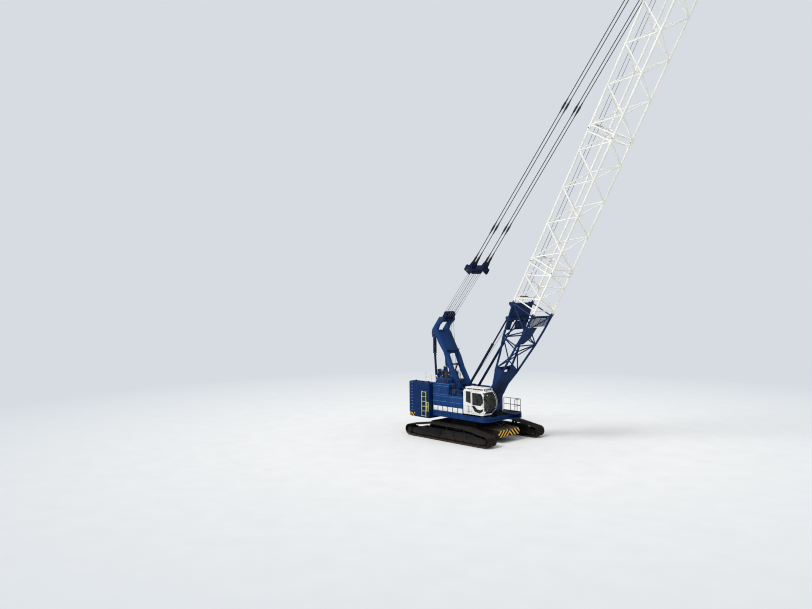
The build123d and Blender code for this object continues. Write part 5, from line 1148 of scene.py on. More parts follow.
# Inside the cab: a sprung seat with sewn cushions, two armrest consoles with levers, a screen,
# pedals, and a ribbed floor mat.
seat_cloth, tree, surface = new_material("seat_cloth")
spot = add(tree, "ShaderNodeTexCoord").outputs["Object"]
weave = add(tree, "ShaderNodeTexWave",
            {"Vector": spot, "Scale": 160.0, "Distortion": 1.5}).outputs["Fac"]
wear = add(tree, "ShaderNodeTexNoise", {"Vector": spot, "Scale": 9.0, "Detail": 5.0}).outputs["Fac"]
cloth = mix(tree, weave, rgb(30, 31, 34), rgb(58, 60, 64))
cloth = mix(tree, remap(tree, wear, 0.45, 0.7, 0.0, 0.5), cloth, rgb(92, 88, 82))
padding = add(tree, "ShaderNodeBsdfPrincipled",
              {"Base Color": cloth, "Roughness": remap(tree, wear, 0.3, 0.7, 0.8, 0.95),
               "Sheen Weight": 0.3, "Normal": add(tree, "ShaderNodeBump",
                                                  {"Height": weave, "Distance": 0.002}).outputs[0]})
tree.links.new(padding.outputs[0], surface)


def cushion(bm, low, high, crown, turn=None):
    """A sewn pad: a block subdivided and puffed out, its sides drawn in between the corners."""
    middle = (Vector(low) + Vector(high)) / 2
    half = (Vector(high) - Vector(low)) / 2
    pad = bmesh.new()
    bmesh.ops.create_cube(pad, size=2.0)
    bmesh.ops.subdivide_edges(pad, edges=pad.edges[:], cuts=7, use_grid_fill=True)
    for vert in pad.verts:
        x, y, z = vert.co
        puff = crown * (1 - x * x) * (1 - y * y)
        round_off = 1.0 - 0.09 * (x * x * y * y + y * y * z * z + x * x * z * z)
        local = Vector((x * half.x * round_off, y * half.y * round_off,
                        z * (half.z * round_off + puff)))
        vert.co = (turn @ local if turn else local) + middle
    mesh = bpy.data.meshes.new("cushion")
    pad.to_mesh(mesh)
    pad.free()
    bm.from_mesh(mesh)
    bpy.data.meshes.remove(mesh)


recline = Matrix.Rotation(radians(-8), 3, "Y")
bm = bmesh.new()
cushion(bm, (0.95, -1.5, 2.34), (1.46, -1.08, 2.43), 0.025)
cushion(bm, (0.86, -1.49, 2.48), (0.97, -1.09, 3.08), 0.0, recline)
cushion(bm, (0.8, -1.4, 3.0), (0.88, -1.18, 3.09), 0.0, recline)
seat = piece("driver_seat", bm, "upperworks", seat_cloth, smooth=70)
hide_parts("seat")
bm = bmesh.new()
block(bm, (0.96, -1.44, 1.942), (1.36, -1.14, 2.0), soften=0.01)
for k in range(5):
    inset, lift = 0.004 * k, 0.055 * k
    block(bm, (0.99 + inset, -1.42, 2.01 + lift), (1.34 - inset, -1.16, 2.055 + lift), soften=0.015)
block(bm, (0.94, -1.46, 2.29), (1.42, -1.12, 2.335), soften=0.01)
for y in (-1.62, -0.98):
    block(bm, (1.0, y - 0.045, 2.5), (1.45, y + 0.045, 2.62), soften=0.02)
    block(bm, (1.02, y - 0.03, 1.942), (1.12, y + 0.03, 2.5), soften=0.008)
    rod(bm, (1.38, y, 2.6), (1.41, y, 2.8), 0.012, 10)
    rod(bm, (1.405, y, 2.78), (1.415, y, 2.86), 0.024, 14, soften=0.008)
block(bm, (2.3, -1.16, 2.5), (2.33, -0.96, 2.76), soften=0.01)
pedal_slope = Matrix.Rotation(radians(-25), 4, "Y")
for y in (-1.36, -1.22):
    block(bm, (1.9, y - 0.04, 1.97), (1.93, y + 0.04, 2.12), turn=pedal_slope)
for k in range(12):
    block(bm, (1.12 + k * 0.062, -1.64, 1.94), (1.15 + k * 0.062, -0.94, 1.948), soften=0.002)
piece("cab_interior", bm, "upperworks", black_trim)

# Railings and ladders. Bent steel tube welded to the deck's edge, grey round the left walkway,
# and a pale yellow ladder and step frame clamped to the right slabs.
rail_grey = coat("rail_grey", rgb(84, 84, 92), bump=0.003, Roughness=0.45, Dirt=0.4, Top_Dust=0.4,
                 Chips=0.5, Streaks=0.4)
ladder_yellow = coat("ladder_yellow", rgb(206, 216, 128), bump=0.003, Roughness=0.5, Dirt=0.45,
                     Top_Dust=0.4, Dirt_Colour=rgb(92, 94, 70), Chips=0.5, Streaks=0.6)
DECK_TOP, RAIL_TOP, RAIL_RADIUS = 1.75, 2.75, 0.021
RAIL_REAR, RAIL_FRONT, RAIL_OUT, RAIL_IN = 1.4, 2.89, 1.69, 1.06
bm = bmesh.new()
for x in (RAIL_REAR, 2.0, 2.6, RAIL_FRONT):
    post(bm, x, RAIL_OUT, DECK_TOP, RAIL_TOP, RAIL_RADIUS, 14)
    block(bm, (x - 0.05, 1.65, DECK_TOP), (x + 0.05, 1.74, 1.768), soften=0.004)
for z in (2.3, RAIL_TOP):
    rod(bm, (RAIL_REAR, RAIL_OUT, z), (RAIL_FRONT, RAIL_OUT, z), RAIL_RADIUS, 14)
    axle(bm, RAIL_FRONT, z, RAIL_OUT, RAIL_IN, RAIL_RADIUS, 14)
post(bm, RAIL_FRONT, RAIL_IN, DECK_TOP, RAIL_TOP, RAIL_RADIUS, 14)
for x, y in ((RAIL_FRONT, RAIL_OUT), (RAIL_FRONT, RAIL_IN), (RAIL_REAR, RAIL_OUT)):
    bmesh.ops.create_icosphere(bm, subdivisions=2, radius=RAIL_RADIUS + 0.0005,
                               matrix=Matrix.Translation((x, y, RAIL_TOP)))
rails = piece("walkway_rails", bm, "upperworks", rail_grey)
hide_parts("handrails")
bm = bmesh.new()
LADDERS = (
    # rear, front, lower z, upper z, rungs
    (-3.2, -2.77, 1.3, 3.15, 6), (-2.7, -2.53, 1.7, 2.4, 3),
)
for rear, front, foot_z, top_z, rungs in LADDERS:
    for x in (rear, front):
        block(bm, (x - 0.025, -2.145, foot_z), (x + 0.025, -2.095, top_z), soften=0.008)
    for k in range(rungs):
        z = foot_z + 0.05 + k * (top_z - foot_z - 0.1) / (rungs - 1)
        block(bm, (rear, -2.14, z - 0.018), (front, -2.1, z + 0.018), soften=0.006)
    for z in (foot_z + 0.44, top_z - 0.2):
        for x in (rear, front):
            block(bm, (x - 0.02, -2.1, z - 0.025), (x + 0.02, -2.05, z + 0.025), soften=0.004)
ladder = piece("slab_ladder", bm, "upperworks", ladder_yellow)
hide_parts("ladder")

# Boom. Five pinned lattice sections of round steel tube: a blue foot, white inserts and a blue
# head. The chords end in forks and eyes, and single lacing tubes zigzag over each side.
BOOM_TILT = radians(61)
BOOM_HALF, BOOM_SIDE = 0.915, 1.05
FULL = (BOOM_HALF, -BOOM_HALF, BOOM_SIDE)
HEAD_END = 29.5
CHORD_RADIUS, LACING_RADIUS = 0.074, 0.043
boom_white = coat("boom_white", rgb(246, 245, 238), bump=0.005, gloss=0.05, Roughness=0.45, Dirt=0.22,
                  Dirt_Colour=rgb(176, 164, 138), Streaks=0.3, Top_Dust=0.15, Chips=0.25,
                  Chip_Colour=rgb(150, 120, 88), Fade=0.0)
# The boom's blue is the frame's blue made darker: painted shade on the foot and the head, whose faces
# turn away from the light.
shaded_boom_blue = coat("shaded_boom_blue", rgb(0, 44, 94), bump=0.006, gloss=0.03, Roughness=0.45, Dirt=0.25,
                 Dirt_Colour=rgb(26, 34, 52), Streaks=0.25, Top_Dust=0.2, Chips=0.25, Fade=0.015)


def on_boom(s, y, t):
    """A point s along the boom from its foot pin, y to the left and t to its front side."""
    return Vector((FOOT_PIN[0] + s * cos(BOOM_TILT) + t * sin(BOOM_TILT), y,
                   FOOT_PIN[1] + s * sin(BOOM_TILT) - t * cos(BOOM_TILT)))


def boom_pin(bm, s, t, y0, y1, radius, sides=16, soften=0.0):
    """A round bar across the boom, from y0 to y1."""
    rod(bm, on_boom(s, y0, t), on_boom(s, y1, t), radius, sides, soften=soften)


def boom_plate(bm, outline, y, thick, soften=0.004):
    """A plate that stands along the boom: its outline in s and t, its place y and thickness."""
    plate(bm, [on_boom(s, y, t) for s, t in outline], (0, thick, 0), soften)


def boom_panel(bm, lower, upper, y0, y1, thick, soften=0.004):
    """A plate that lies across the boom, from one place s, t to another."""
    spots = ((lower, y0), (upper, y0), (upper, y1), (lower, y1))
    plate(bm, [on_boom(s, y, t) for (s, t), y in spots], thick, soften)


def corners(station):
    """The four chords at one station: s, front, rear and half width."""
    s, front, rear, half = station
    return [(s, half, front), (s, -half, front), (s, -half, rear), (s, half, rear)]


def lacing(bm, stations, frames):
    """Chords along the stations, a zigzag on each face, and cross frames at some stations."""
    rings = [[on_boom(s, y, t) for s, y, t in corners(station)] for station in stations]
    for here, after in zip(rings, rings[1:]):
        for a, b in zip(here, after):
            rod(bm, a, b, CHORD_RADIUS, 18)
    for i, (here, after) in enumerate(zip(rings[1:], rings[2:-1])):
        for face in range(4):
            left, right = face, (face + 1) % 4
            if (i + face) % 2:
                left, right = right, left
            rod(bm, here[left], after[right], LACING_RADIUS, 12)
    for i in frames:
        for face in range(4):
            rod(bm, rings[i][face], rings[i][(face + 1) % 4], LACING_RADIUS, 12)


def gussets(bm, stations, picked):
    """Small plates where the cross frames meet the chords."""
    for i in picked:
        for s, y, t in corners(stations[i]):
            inward_y, inward_t = -1 if y > 0 else 1, -1 if t > 0 else 1
            along = [on_boom(s - 0.16, y, t), on_boom(s + 0.16, y, t)]
            lift = on_boom(0, 0, 0.012) - on_boom(0, 0, 0)
            plate(bm, along + [on_boom(s, y + inward_y * 0.24, t)], lift, soften=0.0)
            plate(bm, along + [on_boom(s, y, t + inward_t * 0.24)], (0, inward_y * 0.012, 0),
                  soften=0.0)


def forks(bm, pins, s, way):
    """Chord ends at a joint: fork or eye plates round the pin, with the pin's head and keeper."""
    sheets = ((-0.078, -0.036), (0.036, 0.078)) if way > 0 else ((-0.03, 0.03),)
    for y in (BOOM_SIDE, -BOOM_SIDE):
        for t in (BOOM_HALF, -BOOM_HALF):
            rod(bm, on_boom(s + way * 0.02, y, t), on_boom(s + way * 0.24, y, t), 0.096, 20, tip=0.075)
            for y0, y1 in sheets:
                boom_pin(bm, s + way * 0.004, t, y + y0, y + y1, 0.088, 22)
            if way > 0:
                boom_pin(pins, s, t, y - 0.12, y + 0.12, 0.036, soften=0.006)
                boom_pin(pins, s, t, y + 0.1, y + 0.118, 0.058, soften=0.004)


END_BAY = 0.21


def level_stations(s0, length, bays):
    """Stations of an insert, whose chords run parallel."""
    step = (length - 2 * END_BAY) / bays
    marks = [s0] + [s0 + END_BAY + i * step for i in range(bays + 1)] + [s0 + length]
    return [(s, *FULL) for s in marks]


FOOT_STATIONS = (
    # s, front, rear, half width
    (3.35, 0.36, -0.19, 0.815), (3.6, 0.39, -0.215, 0.84), (4.7, 0.53, -0.33, 0.95),
    (5.9, 0.69, -0.56, BOOM_SIDE), (7.1, 0.83, -0.74, BOOM_SIDE), (8.29, *FULL), (8.5, *FULL),
)
HEAD_STATIONS = (
    # s, front, rear, half width
    (HEAD_END, *FULL), (HEAD_END + END_BAY, *FULL), (31.35, 0.77, -0.83, 0.94),
    (33.0, 0.61, -0.73, 0.83), (34.65, 0.44, -0.62, 0.715), (36.32, 0.26, -0.5, 0.6),
    (36.5, 0.25, -0.49, 0.595),
)
pins = bmesh.new()
INSERTS = (
    # node, foot end, length, bays
    ("boom_insert_3m", 8.5, 3.0, 3), ("boom_insert_9m_lower", 11.5, 9.0, 7),
    ("boom_insert_9m_upper", 20.5, 9.0, 7),
)
for name, s0, length, bays in INSERTS:
    bm = bmesh.new()
    stations = level_stations(s0, length, bays)
    lacing(bm, stations, (1, bays + 1))
    gussets(bm, stations, (1, bays + 1))
    forks(bm, pins, s0, 1)
    forks(bm, pins, s0 + length, -1)
    section = piece(f"{name}_tubes", bm, "boom", boom_white)
    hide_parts(name)

# Boom foot. Two welded box legs on the foot pins grow into the square lattice. A cross tube with
# welded ears takes the back-stops, and short lugs stand on the rear chords near the joint.
bm = bmesh.new()
lacing(bm, FOOT_STATIONS, (1, 3, 5))
gussets(bm, FOOT_STATIONS, (1, 3, 5))
forks(bm, pins, 8.5, -1)
LEG_RINGS = (
    # s, inner y, outer y, rear t, front t
    (0.0, 0.44, 0.72, -0.13, 0.13), (2.4, 0.4, 0.72, -0.06, 0.25), (3.65, 0.62, 0.905, -0.28, 0.46),
)
for side in (-1, 1):
    before = len(bm.faces)
    rings = []
    for s, inner, outer, rear, front in LEG_RINGS:
        spots = [on_boom(s, side * inner, rear), on_boom(s, side * outer, rear),
                 on_boom(s, side * outer, front), on_boom(s, side * inner, front)]
        verts = [bm.verts.new(spot) for spot in spots]
        rings.append([bm.edges.new((verts[i], verts[(i + 1) % 4])) for i in range(4)])
    for lower, upper in zip(rings, rings[1:]):
        bmesh.ops.bridge_loops(bm, edges=lower + upper)
    bmesh.ops.holes_fill(bm, edges=rings[0] + rings[-1], sides=4)
    bm.faces.ensure_lookup_table()
    bevelled(bm, before, 0.015, 3)
    axle(bm, *FOOT_PIN, side * 0.44, side * 0.72, 0.165, 40, soften=0.01)
    for s in (0.9, 1.7, 2.5, 3.2):
        outer = 0.721 + max(s - 2.4, 0.0) * 0.148
        rib = ((s - 0.015, -0.1), (s + 0.015, -0.1), (s + 0.015, 0.25), (s - 0.015, 0.25))
        boom_plate(bm, rib, side * outer, side * 0.018, soften=0.003)
for outline, half in ((((2.65, 0.24), (3.6, 0.38), (3.6, 0.44), (2.65, 0.3)), 0.65),
                      (((3.35, -0.26), (3.6, -0.29), (3.6, -0.23), (3.35, -0.2)), 0.7)):
    boom_plate(bm, outline, -half, 2 * half, soften=0.006)
boom_pin(bm, 7.2, -0.725, -BOOM_SIDE, BOOM_SIDE, 0.112, 24)
ear = ((6.97, -0.64), (7.42, -0.64), (7.12, -1.22), (7.07, -1.27), (7.0, -1.28), (6.93, -1.26),
       (6.89, -1.21))
for side in (-1, 1):
    for y in (0.489, 0.641):
        boom_plate(bm, ear, side * y, side * 0.03)
rear_lug = ((7.98, -0.875), (8.34, -0.875), (8.27, -1.165), (8.16, -1.205), (8.08, -1.135))
for side in (-1, 1):
    for y in (1.0, 1.065):
        boom_plate(bm, rear_lug, side * y, side * 0.035)
# The foot takes the darkened boom blue: painted shade.
foot = piece("boom_foot_tubes", bm, "boom", shaded_boom_blue)
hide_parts("boom_foot")

# Decking of the boom foot. Flat bar and sheet, welded in: a grating and a cover on its front face,
# a web plate between its two legs, and deck plates with turned edges on its rear face.
# The grating and the web plate are near-black navy, and the cover and the deck plates the darkened boom
# blue: painted shade on the front face, between the legs and on the rear face.
deep = on_boom(0, 0, 0.018) - on_boom(0, 0, 0)
bm = bmesh.new()
for k in range(11):
    s = 7.48 + 0.075 * k
    t = 0.83 + (s - 7.1) * 0.071
    boom_panel(bm, (s, t), (s + 0.045, t), -0.99, 0.99, deep, soften=0.003)
for y in (-0.62, 0.0, 0.62):
    boom_panel(bm, (7.45, 0.83), (8.3, 0.89), y - 0.02, y + 0.02, deep, soften=0.003)
WEB_T, WEB_SLOPE = 0.12, 0.045
lower, upper = ((s, WEB_T + WEB_SLOPE * s) for s in (0.75, 2.66))
boom_panel(bm, lower, upper, -0.43, 0.43, deep)
for s in (0.8, 1.7, 2.6):
    t = WEB_T + WEB_SLOPE * s
    boom_panel(bm, (s, t), (s + 0.05, t + 0.002), -0.42, 0.42, -3 * deep, soften=0.003)
piece("foot_grating", bm, "boom", shaded_navy)
COVER_FOOT, COVER_T, COVER_SLOPE = 6.05, 0.72, 0.106
cover = ((COVER_FOOT, -0.95), (7.42, -1.0), (7.42, 0.05), (6.5, 0.0), (COVER_FOOT, -0.45))
bm = bmesh.new()
plate(bm, [on_boom(s, y, COVER_T + (s - COVER_FOOT) * COVER_SLOPE) for s, y in cover], deep)
for s, end in ((6.12, -0.4), (6.75, 0.0), (7.34, 0.03)):
    t = COVER_T + 0.002 + (s - COVER_FOOT) * COVER_SLOPE
    boom_panel(bm, (s, t), (s + 0.04, t), -0.95, end, 2.2 * deep, soften=0.003)
piece("foot_cover", bm, "boom", shaded_boom_blue)
bm = bmesh.new()
for s0, s1, y0, y1 in ((6.45, 7.06, -1.0, -0.62), (6.45, 7.06, -0.2, 1.0), (7.34, 8.3, -1.0, 1.0)):
    t0, t1 = (-0.5 - (s - 5.9) * 0.1475 for s in (s0, s1))
    boom_panel(bm, (s0, t0), (s1, t1), y0, y1, -deep)
    for s, t in ((s0, t0), (s1 - 0.05, t1)):
        boom_panel(bm, (s, t), (s + 0.05, t), y0, y1, 3 * deep, soften=0.003)
piece("foot_deck", bm, "boom", shaded_boom_blue)

# Boom head. The lattice tapers both ways to two cheek plates, which carry the shaft of the tip
# sheaves in front and the cross pin of the stays behind, with bosses welded round both.
TIP_PIN, STAY_PIN, GUIDE = (37.7, 0.52), (37.6, -0.7), (37.0, -0.398)
bm = bmesh.new()
lacing(bm, HEAD_STATIONS, (1, 5))
gussets(bm, HEAD_STATIONS, (1, 5))
forks(bm, pins, HEAD_END, 1)
HEAD_CHEEK = ((36.25, -0.56), (37.34, -0.64), (37.49, -0.81), (37.71, -0.81), (38.0, -0.2),
              (38.0, 0.46), (37.86, 0.65), (37.58, 0.67), (36.7, 0.33), (36.25, 0.33))
CHEEKS_IN = 0.56
for side in (-1, 1):
    boom_plate(bm, HEAD_CHEEK, side * CHEEKS_IN, side * 0.05, soften=0.008)
    for (s, t), radius in ((TIP_PIN, 0.17), (STAY_PIN, 0.13), ((37.86, 0.06), 0.085)):
        boom_pin(bm, s, t, side * 0.61, side * 0.64, radius, 32, soften=0.006)
tie = ((36.44, -0.49), (36.5, -0.49), (36.5, 0.25), (36.44, 0.25))
boom_plate(bm, tie, -CHEEKS_IN, 2 * CHEEKS_IN, soften=0.005)
boom_pin(bm, *STAY_PIN, -0.96, 0.96, 0.054, 24, soften=0.006)
# The head takes the darkened boom blue: painted shade.
head = piece("boom_head_tubes", bm, "boom", shaded_boom_blue)
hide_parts("boom_head")
piece("boom_pins", pins, "boom", pin_steel)

# Sheaves at the boom head. Cast wheels with a rope groove, on one shaft between the cheeks, with
# retainer bars that keep the ropes in. The shaft's ends and the stay pin's ends carry keepers.
sheave_steel = coat("sheave_steel", rgb(84, 84, 84), metallic=0.5, bump=0.004, Roughness=0.45, Dirt=0.5,
                    Dirt_Colour=rgb(50, 44, 38), Chips=0.2)
FALL_PLACES = (-0.21, -0.07, 0.07, 0.21)
SHEAVE_RADIUS = 0.33
TIP = on_boom(TIP_PIN[0], 0.0, TIP_PIN[1])


def sheave(bm, x, y, z, radius, half=0.03):
    """A grooved wheel with a dished web, spun about its axis from one profile."""
    one_side = ((0.07, half * 1.3), (0.11, half * 1.3), (0.12, half * 0.5), (radius - 0.07, half * 0.4),
                (radius - 0.05, half), (radius, half), (radius - 0.012, half * 0.6))
    other_side = [(reach, -off) for reach, off in reversed(one_side)]
    shape = [*one_side, (radius - 0.04, 0.0), *other_side]
    verts = [bm.verts.new((x + reach, y + off, z)) for reach, off in shape]
    edges = [bm.edges.new(pair) for pair in zip(verts, verts[1:] + verts[:1])]
    bmesh.ops.spin(bm, geom=verts + edges, cent=(x, y, z), axis=(0, 1, 0), angle=2 * pi, steps=40,
                   use_merge=True)


bm = bmesh.new()
for y in FALL_PLACES:
    sheave(bm, TIP.x, y, TIP.z, SHEAVE_RADIUS)
axle(bm, TIP.x, TIP.z, -CHEEKS_IN, CHEEKS_IN, 0.07, 24, soften=0.004)
top_sheaves = piece("tip_sheaves", bm, "boom", sheave_steel)
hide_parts("head_sheaves")
bm = bmesh.new()
for x, z in ((-0.34, -0.097), (-0.1, 0.37)):
    axle(bm, TIP.x + x, TIP.z + z, -CHEEKS_IN, CHEEKS_IN, 0.016, 12)
for side in (-1, 1):
    axle(bm, TIP.x, TIP.z, side * 0.6, side * 0.66, 0.075, 24, soften=0.006)
    boom_pin(bm, *STAY_PIN, side * 0.96, side * 0.985, 0.07, 20, soften=0.005)
piece("tip_fittings", bm, "boom", pin_steel)

# Stays. Four lines of steel rope between sockets, pinned to the boom head above and to the
# spreader below; the spreader bar hangs in the luffing ropes.
fit(nodes["stay_lines"], rope_dark)
# The spreader bar and the cradle take the near-black navy: painted shade.
fit(nodes["spreader_bar"], shaded_navy)
fit(nodes["luffing_cradle"], shaded_navy)
BRIDLE = Vector((0.8, 0.0, 12.5))
ANCHOR = on_boom(STAY_PIN[0], 0.0, STAY_PIN[1])
STAYS_Y = (-0.825, -0.475, 0.475, 0.825)
LINK = ((-0.2, -0.05), (0.2, -0.05), (0.24, 0.0), (0.2, 0.05), (-0.2, 0.05), (-0.24, 0.0))
stay_way = (ANCHOR - BRIDLE).normalized()
stay_side = Vector((-stay_way.z, 0.0, stay_way.x))
bm = bmesh.new()
for y in STAYS_Y:
    off = Vector((0, y, 0))
    for mark in (2.9, 12.2, 21.2):
        at = BRIDLE + stay_way * mark + off
        for side in (-1, 1):
            rod(bm, at + stay_way * side * 0.19, at + stay_way * side * 0.52, 0.052, 16, tip=0.034)
        for edge in (-0.045, 0.03):
            start = at + Vector((0, edge, 0))
            plate(bm, [start + stay_way * a + stay_side * b for a, b in LINK], (0, 0.015, 0),
                  soften=0.0)
        for side in (-1, 1):
            eye = at + stay_way * side * 0.14
            axle(bm, eye.x, eye.z, eye.y - 0.06, eye.y + 0.06, 0.028, 12)
    at = BRIDLE + stay_way * 0.44 + off
    rod(bm, at, at + stay_way * 0.4, 0.055, 16, tip=0.034)
    at = ANCHOR - stay_way * 0.12 + off
    rod(bm, at, at - stay_way * 0.42, 0.058, 16, tip=0.034)
piece("stay_sockets", bm, "stays", pin_steel)
bm = bmesh.new()
hub = BRIDLE - stay_way * 0.76
for side in (-1, 1):
    axle(bm, hub.x, hub.z, side * 0.95, side * 0.98, 0.12, 6, soften=0.008)
    axle(bm, hub.x, hub.z, side * 0.97, side * 1.0, 0.055, 18, soften=0.005)
for y in STAYS_Y:
    for edge in (-1, 1):
        axle(bm, BRIDLE.x, BRIDLE.z, y + edge * 0.064, y + edge * 0.08, 0.055, 20, soften=0.004)
piece("spreader_pins", bm, "spreader", pin_steel)

# Luffing ropes. Ten parts of wire rope run between the sheaves in the A-frame's head and those in the
# spreader. Their lead runs up from the winch over a rubbing bar.
LUFF_ROPE = 0.011
CRADLE_AT = Vector((HEAD_PIN[0], 0.0, HEAD_PIN[1]))
luff_way = (BRIDLE - CRADLE_AT).normalized()
luff_side = Vector((-luff_way.z, 0.0, luff_way.x))
bm = bmesh.new()
low_end = CRADLE_AT + luff_way * 0.44
high_end = hub
for y in (-0.33, -0.11, 0.11, 0.33):
    for side in (-1, 1):
        rod(bm, low_end + luff_side * side * 0.235 + Vector((0, y, 0)),
            high_end + luff_side * side * 0.24 + Vector((0, y, 0)), LUFF_ROPE, 8)
for y in (-0.4, 0.4):
    rod(bm, low_end + Vector((0, y, 0)), high_end + Vector((0, 1.2 * y, 0)), LUFF_ROPE, 8)
rope_bright = coat("rope_bright", rgb(128, 128, 124), metallic=0.3, bump=0.004, Roughness=0.5, Dirt=0.4,
                   Dirt_Colour=rgb(74, 70, 64), Chips=0.0)
luffing_ropes = piece("luffing_ropes", bm, None, rope_bright)
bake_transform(luffing_ropes)
BAR_Z = 6.1
bm = bmesh.new()
for side in (-1, 1):
    bend = (-1.913, side * 0.126, BAR_Z)
    rod(bm, (-1.85, side * 0.15, 2.3), bend, LUFF_ROPE, 8)
    rod(bm, bend, (-2.07, side * 0.11, 8.72), LUFF_ROPE, 8)
luffing_lead = piece("luffing_lead", bm, None, rope_dark)
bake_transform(luffing_lead)
bm = bmesh.new()
axle(bm, -1.955, BAR_Z, -0.3, 0.3, 0.03, soften=0.004)
piece("rubbing_bar", bm, "upperworks", pin_steel)

# Back-stops. Two telescopic struts that catch the boom if it swings up too far: a tube pinned
# to an A-frame leg, closed by a wiper ring, and a greased rod pinned to the boom.
for side, sign in (("right", -1), ("left", 1)):
    # The back-stops' tubes, rods and rings take the near-black navy: painted shade.
    fit(nodes[f"backstop_tube_{side}"], shaded_navy)
    fit(nodes[f"backstop_rod_{side}"], shaded_navy)
    base = Vector((-0.25, sign * LEG_Y, 3.25))
    reach = on_boom(7.0, sign * LEG_Y, -1.16) - base
    way = reach.normalized()
    bm = bmesh.new()
    for mark, long, radius in ((4.22, 0.1, 0.1), (3.7, 0.03, 0.097), (0.42, 0.04, 0.1),
                               (2.2, 0.03, 0.096)):
        rod(bm, base + way * mark, base + way * (mark + long), radius, 28, soften=0.004)
    for low, high in ((-0.15, -0.131), (0.131, 0.15)):
        axle(bm, base.x, base.z, base.y + low, base.y + high, 0.07, 20, soften=0.005)
    piece(f"stop_rings_{side}", bm, f"stop_tube_{side}", shaded_navy)
    bm = bmesh.new()
    eye = base + reach
    axle(bm, eye.x, eye.z, eye.y - 0.1, eye.y + 0.1, 0.04, 20, soften=0.005)
    piece(f"stop_eye_{side}", bm, f"stop_rod_{side}", pin_steel)

# Hoist rope. It runs from the winch up the rear of the boom over guide rollers and the guide
# sheaves in the head to the tip, and from there in eight falls to the block.
HOIST_ROPE = 0.012
ROPE_T, ROPES_Y = -1.079, 0.2
ROLLER_MARKS, ROLLER_T = (8.71, 11.71, 20.71), -1.005
TOP_ROLLER = 29.9
bm = bmesh.new()
for s in ROLLER_MARKS:
    boom_pin(bm, s, ROLLER_T, -0.375, 0.375, 0.06, 24)
    bracket = ((s - 0.07, -0.895), (s + 0.07, -0.895), (s + 0.04, -1.055), (s - 0.04, -1.055))
    for side in (-1, 1):
        boom_plate(bm, bracket, side * 0.37, side * 0.015, soften=0.003)
    for y in (-0.3, -0.1, 0.1, 0.3):
        boom_pin(bm, s, ROLLER_T, y - 0.006, y + 0.006, 0.085, 24, soften=0.003)
    for side in (-1, 1):
        boom_pin(bm, s, ROLLER_T, side * 0.385, side * 0.4, 0.04, 12, soften=0.004)
bracket = ((29.84, -0.86), (29.96, -0.86), (29.94, -1.01), (29.86, -1.01))
for y in (-ROPES_Y, ROPES_Y):
    boom_pin(bm, TOP_ROLLER, -0.96, y - 0.12, y + 0.12, 0.06, 20, soften=0.006)
    for edge in (-0.15, 0.14):
        boom_plate(bm, bracket, y + edge, 0.01, soften=0.0)
piece("rope_guides", bm, "boom", pin_steel)
bm = bmesh.new()
at = on_boom(GUIDE[0], 0.0, GUIDE[1])
for y in (-ROPES_Y, ROPES_Y):
    sheave(bm, at.x, y, at.z, 0.2)
axle(bm, at.x, at.z, -CHEEKS_IN, CHEEKS_IN, 0.07, 24, soften=0.004)
for side in (-1, 1):
    axle(bm, at.x, at.z, side * 0.61, side * 0.63, 0.1, 24, soften=0.005)
piece("head_guides", bm, "boom", sheave_steel)
WRAPS = (
    # centre, radius, first and last angle round it in degrees
    (GUIDE, 0.172, -86.3, -43.8), (TIP_PIN, 0.302, -43.8, 61.0),
)
WRAP_POINTS = 8
line = [(ROLLER_MARKS[0], ROPE_T), (ROLLER_MARKS[-1], ROPE_T), (TOP_ROLLER, -1.032)]
at_tip = len(line) + WRAP_POINTS
for centre, reach, low, high in WRAPS:
    for k in range(WRAP_POINTS):
        turn = radians(low + (high - low) * k / (WRAP_POINTS - 1))
        line.append((centre[0] + reach * cos(turn), centre[1] + reach * sin(turn)))
bm = bmesh.new()
for side in (-1, 1):
    for k, ((s0, t0), (s1, t1)) in enumerate(zip(line, line[1:])):
        y0, y1 = (side * (ROPES_Y if step < at_tip else FALL_PLACES[-1]) for step in (k, k + 1))
        rod(bm, on_boom(s0, y0, t0), on_boom(s1, y1, t1), HOIST_ROPE, 8)
piece("hoist_lead", bm, "boom", rope_dark)
first = on_boom(ROLLER_MARKS[0], 0.0, ROPE_T)
bm = bmesh.new()
for side in (-1, 1):
    rod(bm, (-1.42, side * 0.12, 2.37), (first.x, side * ROPES_Y, first.z), HOIST_ROPE, 8)
winch_lead = piece("winch_lead", bm, None, rope_dark)
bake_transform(winch_lead)
BLOCK_Z = TIP.z - 7.0
bm = bmesh.new()
for y in FALL_PLACES:
    for side in (-1, 1):
        post(bm, TIP.x + side * 0.342, y, BLOCK_Z, TIP.z, HOIST_ROPE, 10)
falls = piece("hoist_rope_falls", bm, None, rope_dark)
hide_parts("hoist_falls")
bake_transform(falls)

# Hook block. Sheaves between thick yellow cheek weights with black bands, over a crosshead that
# carries the forged hook on a thrust bearing.
BAND_SLOPE, BANDS_A_METRE, BAND_SHARE = 0.8, 4.0, 0.45


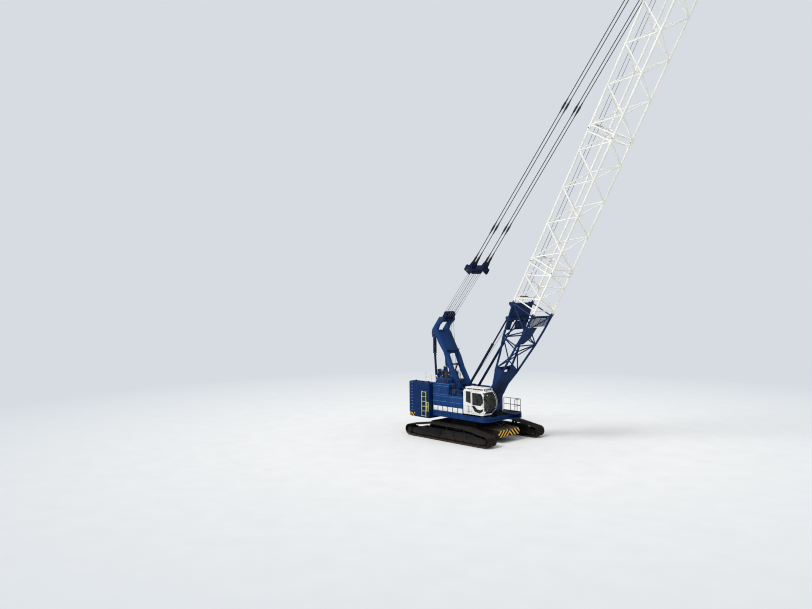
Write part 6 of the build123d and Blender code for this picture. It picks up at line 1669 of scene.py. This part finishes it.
def block_bands(tree, spot, colour):
    """Black bands across the lower part of the cheek weights."""
    parts = add(tree, "ShaderNodeSeparateXYZ", {0: spot})
    slant = calc(tree, "ADD", parts.outputs[2], calc(tree, "MULTIPLY", parts.outputs[0], BAND_SLOPE))
    repeat = calc(tree, "FRACT", calc(tree, "MULTIPLY", slant, BANDS_A_METRE), 0.0)
    band = calc(tree, "LESS_THAN", repeat, BAND_SHARE)
    return mix(tree, band, colour, rgb(26, 26, 28))


block_yellow = coat("block_yellow", rgb(226, 164, 24), bump=0.006, gloss=0.15, tint=block_bands,
                    Roughness=0.4, Dirt=0.4, Top_Dust=0.4, Chips=0.5, Streaks=0.4)
forged = coat("forged_hook", rgb(58, 58, 62), metallic=0.4, bump=0.006, Roughness=0.5, Dirt=0.4,
              Chips=0.3)
cheek = ((-0.33, -0.12), (-0.25, 0.26), (0.25, 0.26), (0.33, -0.12), (0.2, -0.7), (0.09, -0.82),
         (-0.09, -0.82), (-0.2, -0.7))
bm = bmesh.new()
for y in (-0.33, 0.27):
    plate(bm, [(TIP.x + x, y, BLOCK_Z + z) for x, z in cheek], (0, 0.06, 0), soften=0.014)
block(bm, (TIP.x - 0.11, -0.27, BLOCK_Z - 0.76), (TIP.x + 0.11, 0.27, BLOCK_Z - 0.56), soften=0.02)
piece("block_cheeks", bm, "hook_block", block_yellow)
bm = bmesh.new()
for y in FALL_PLACES:
    sheave(bm, TIP.x, y, BLOCK_Z, SHEAVE_RADIUS)
axle(bm, TIP.x, BLOCK_Z, -0.345, 0.345, 0.06, 28, soften=0.006)
for side in (-1, 1):
    axle(bm, TIP.x, BLOCK_Z, side * 0.33, side * 0.345, 0.11, 28, soften=0.004)
    for x, z in ((-0.2, 0.2), (0.2, 0.2), (-0.14, -0.62), (0.14, -0.62)):
        axle(bm, TIP.x + x, BLOCK_Z + z, side * 0.33, side * 0.345, 0.025, 6)
block_wheels = piece("block_sheaves", bm, "hook_block", sheave_steel)
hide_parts("hook_block")
fit(nodes["hook"], forged)
latch = ((-0.1, -1.02), (-0.06, -1.0), (-0.3, -1.25), (-0.325, -1.225))
bm = bmesh.new()
post(bm, TIP.x, 0, BLOCK_Z - 0.83, BLOCK_Z - 0.7605, 0.1, 28, soften=0.006)
plate(bm, [(TIP.x + x, -0.03, BLOCK_Z + z) for x, z in latch], (0, 0.06, 0), soften=0.004)
piece("hook_fittings", bm, "hook", pin_steel)
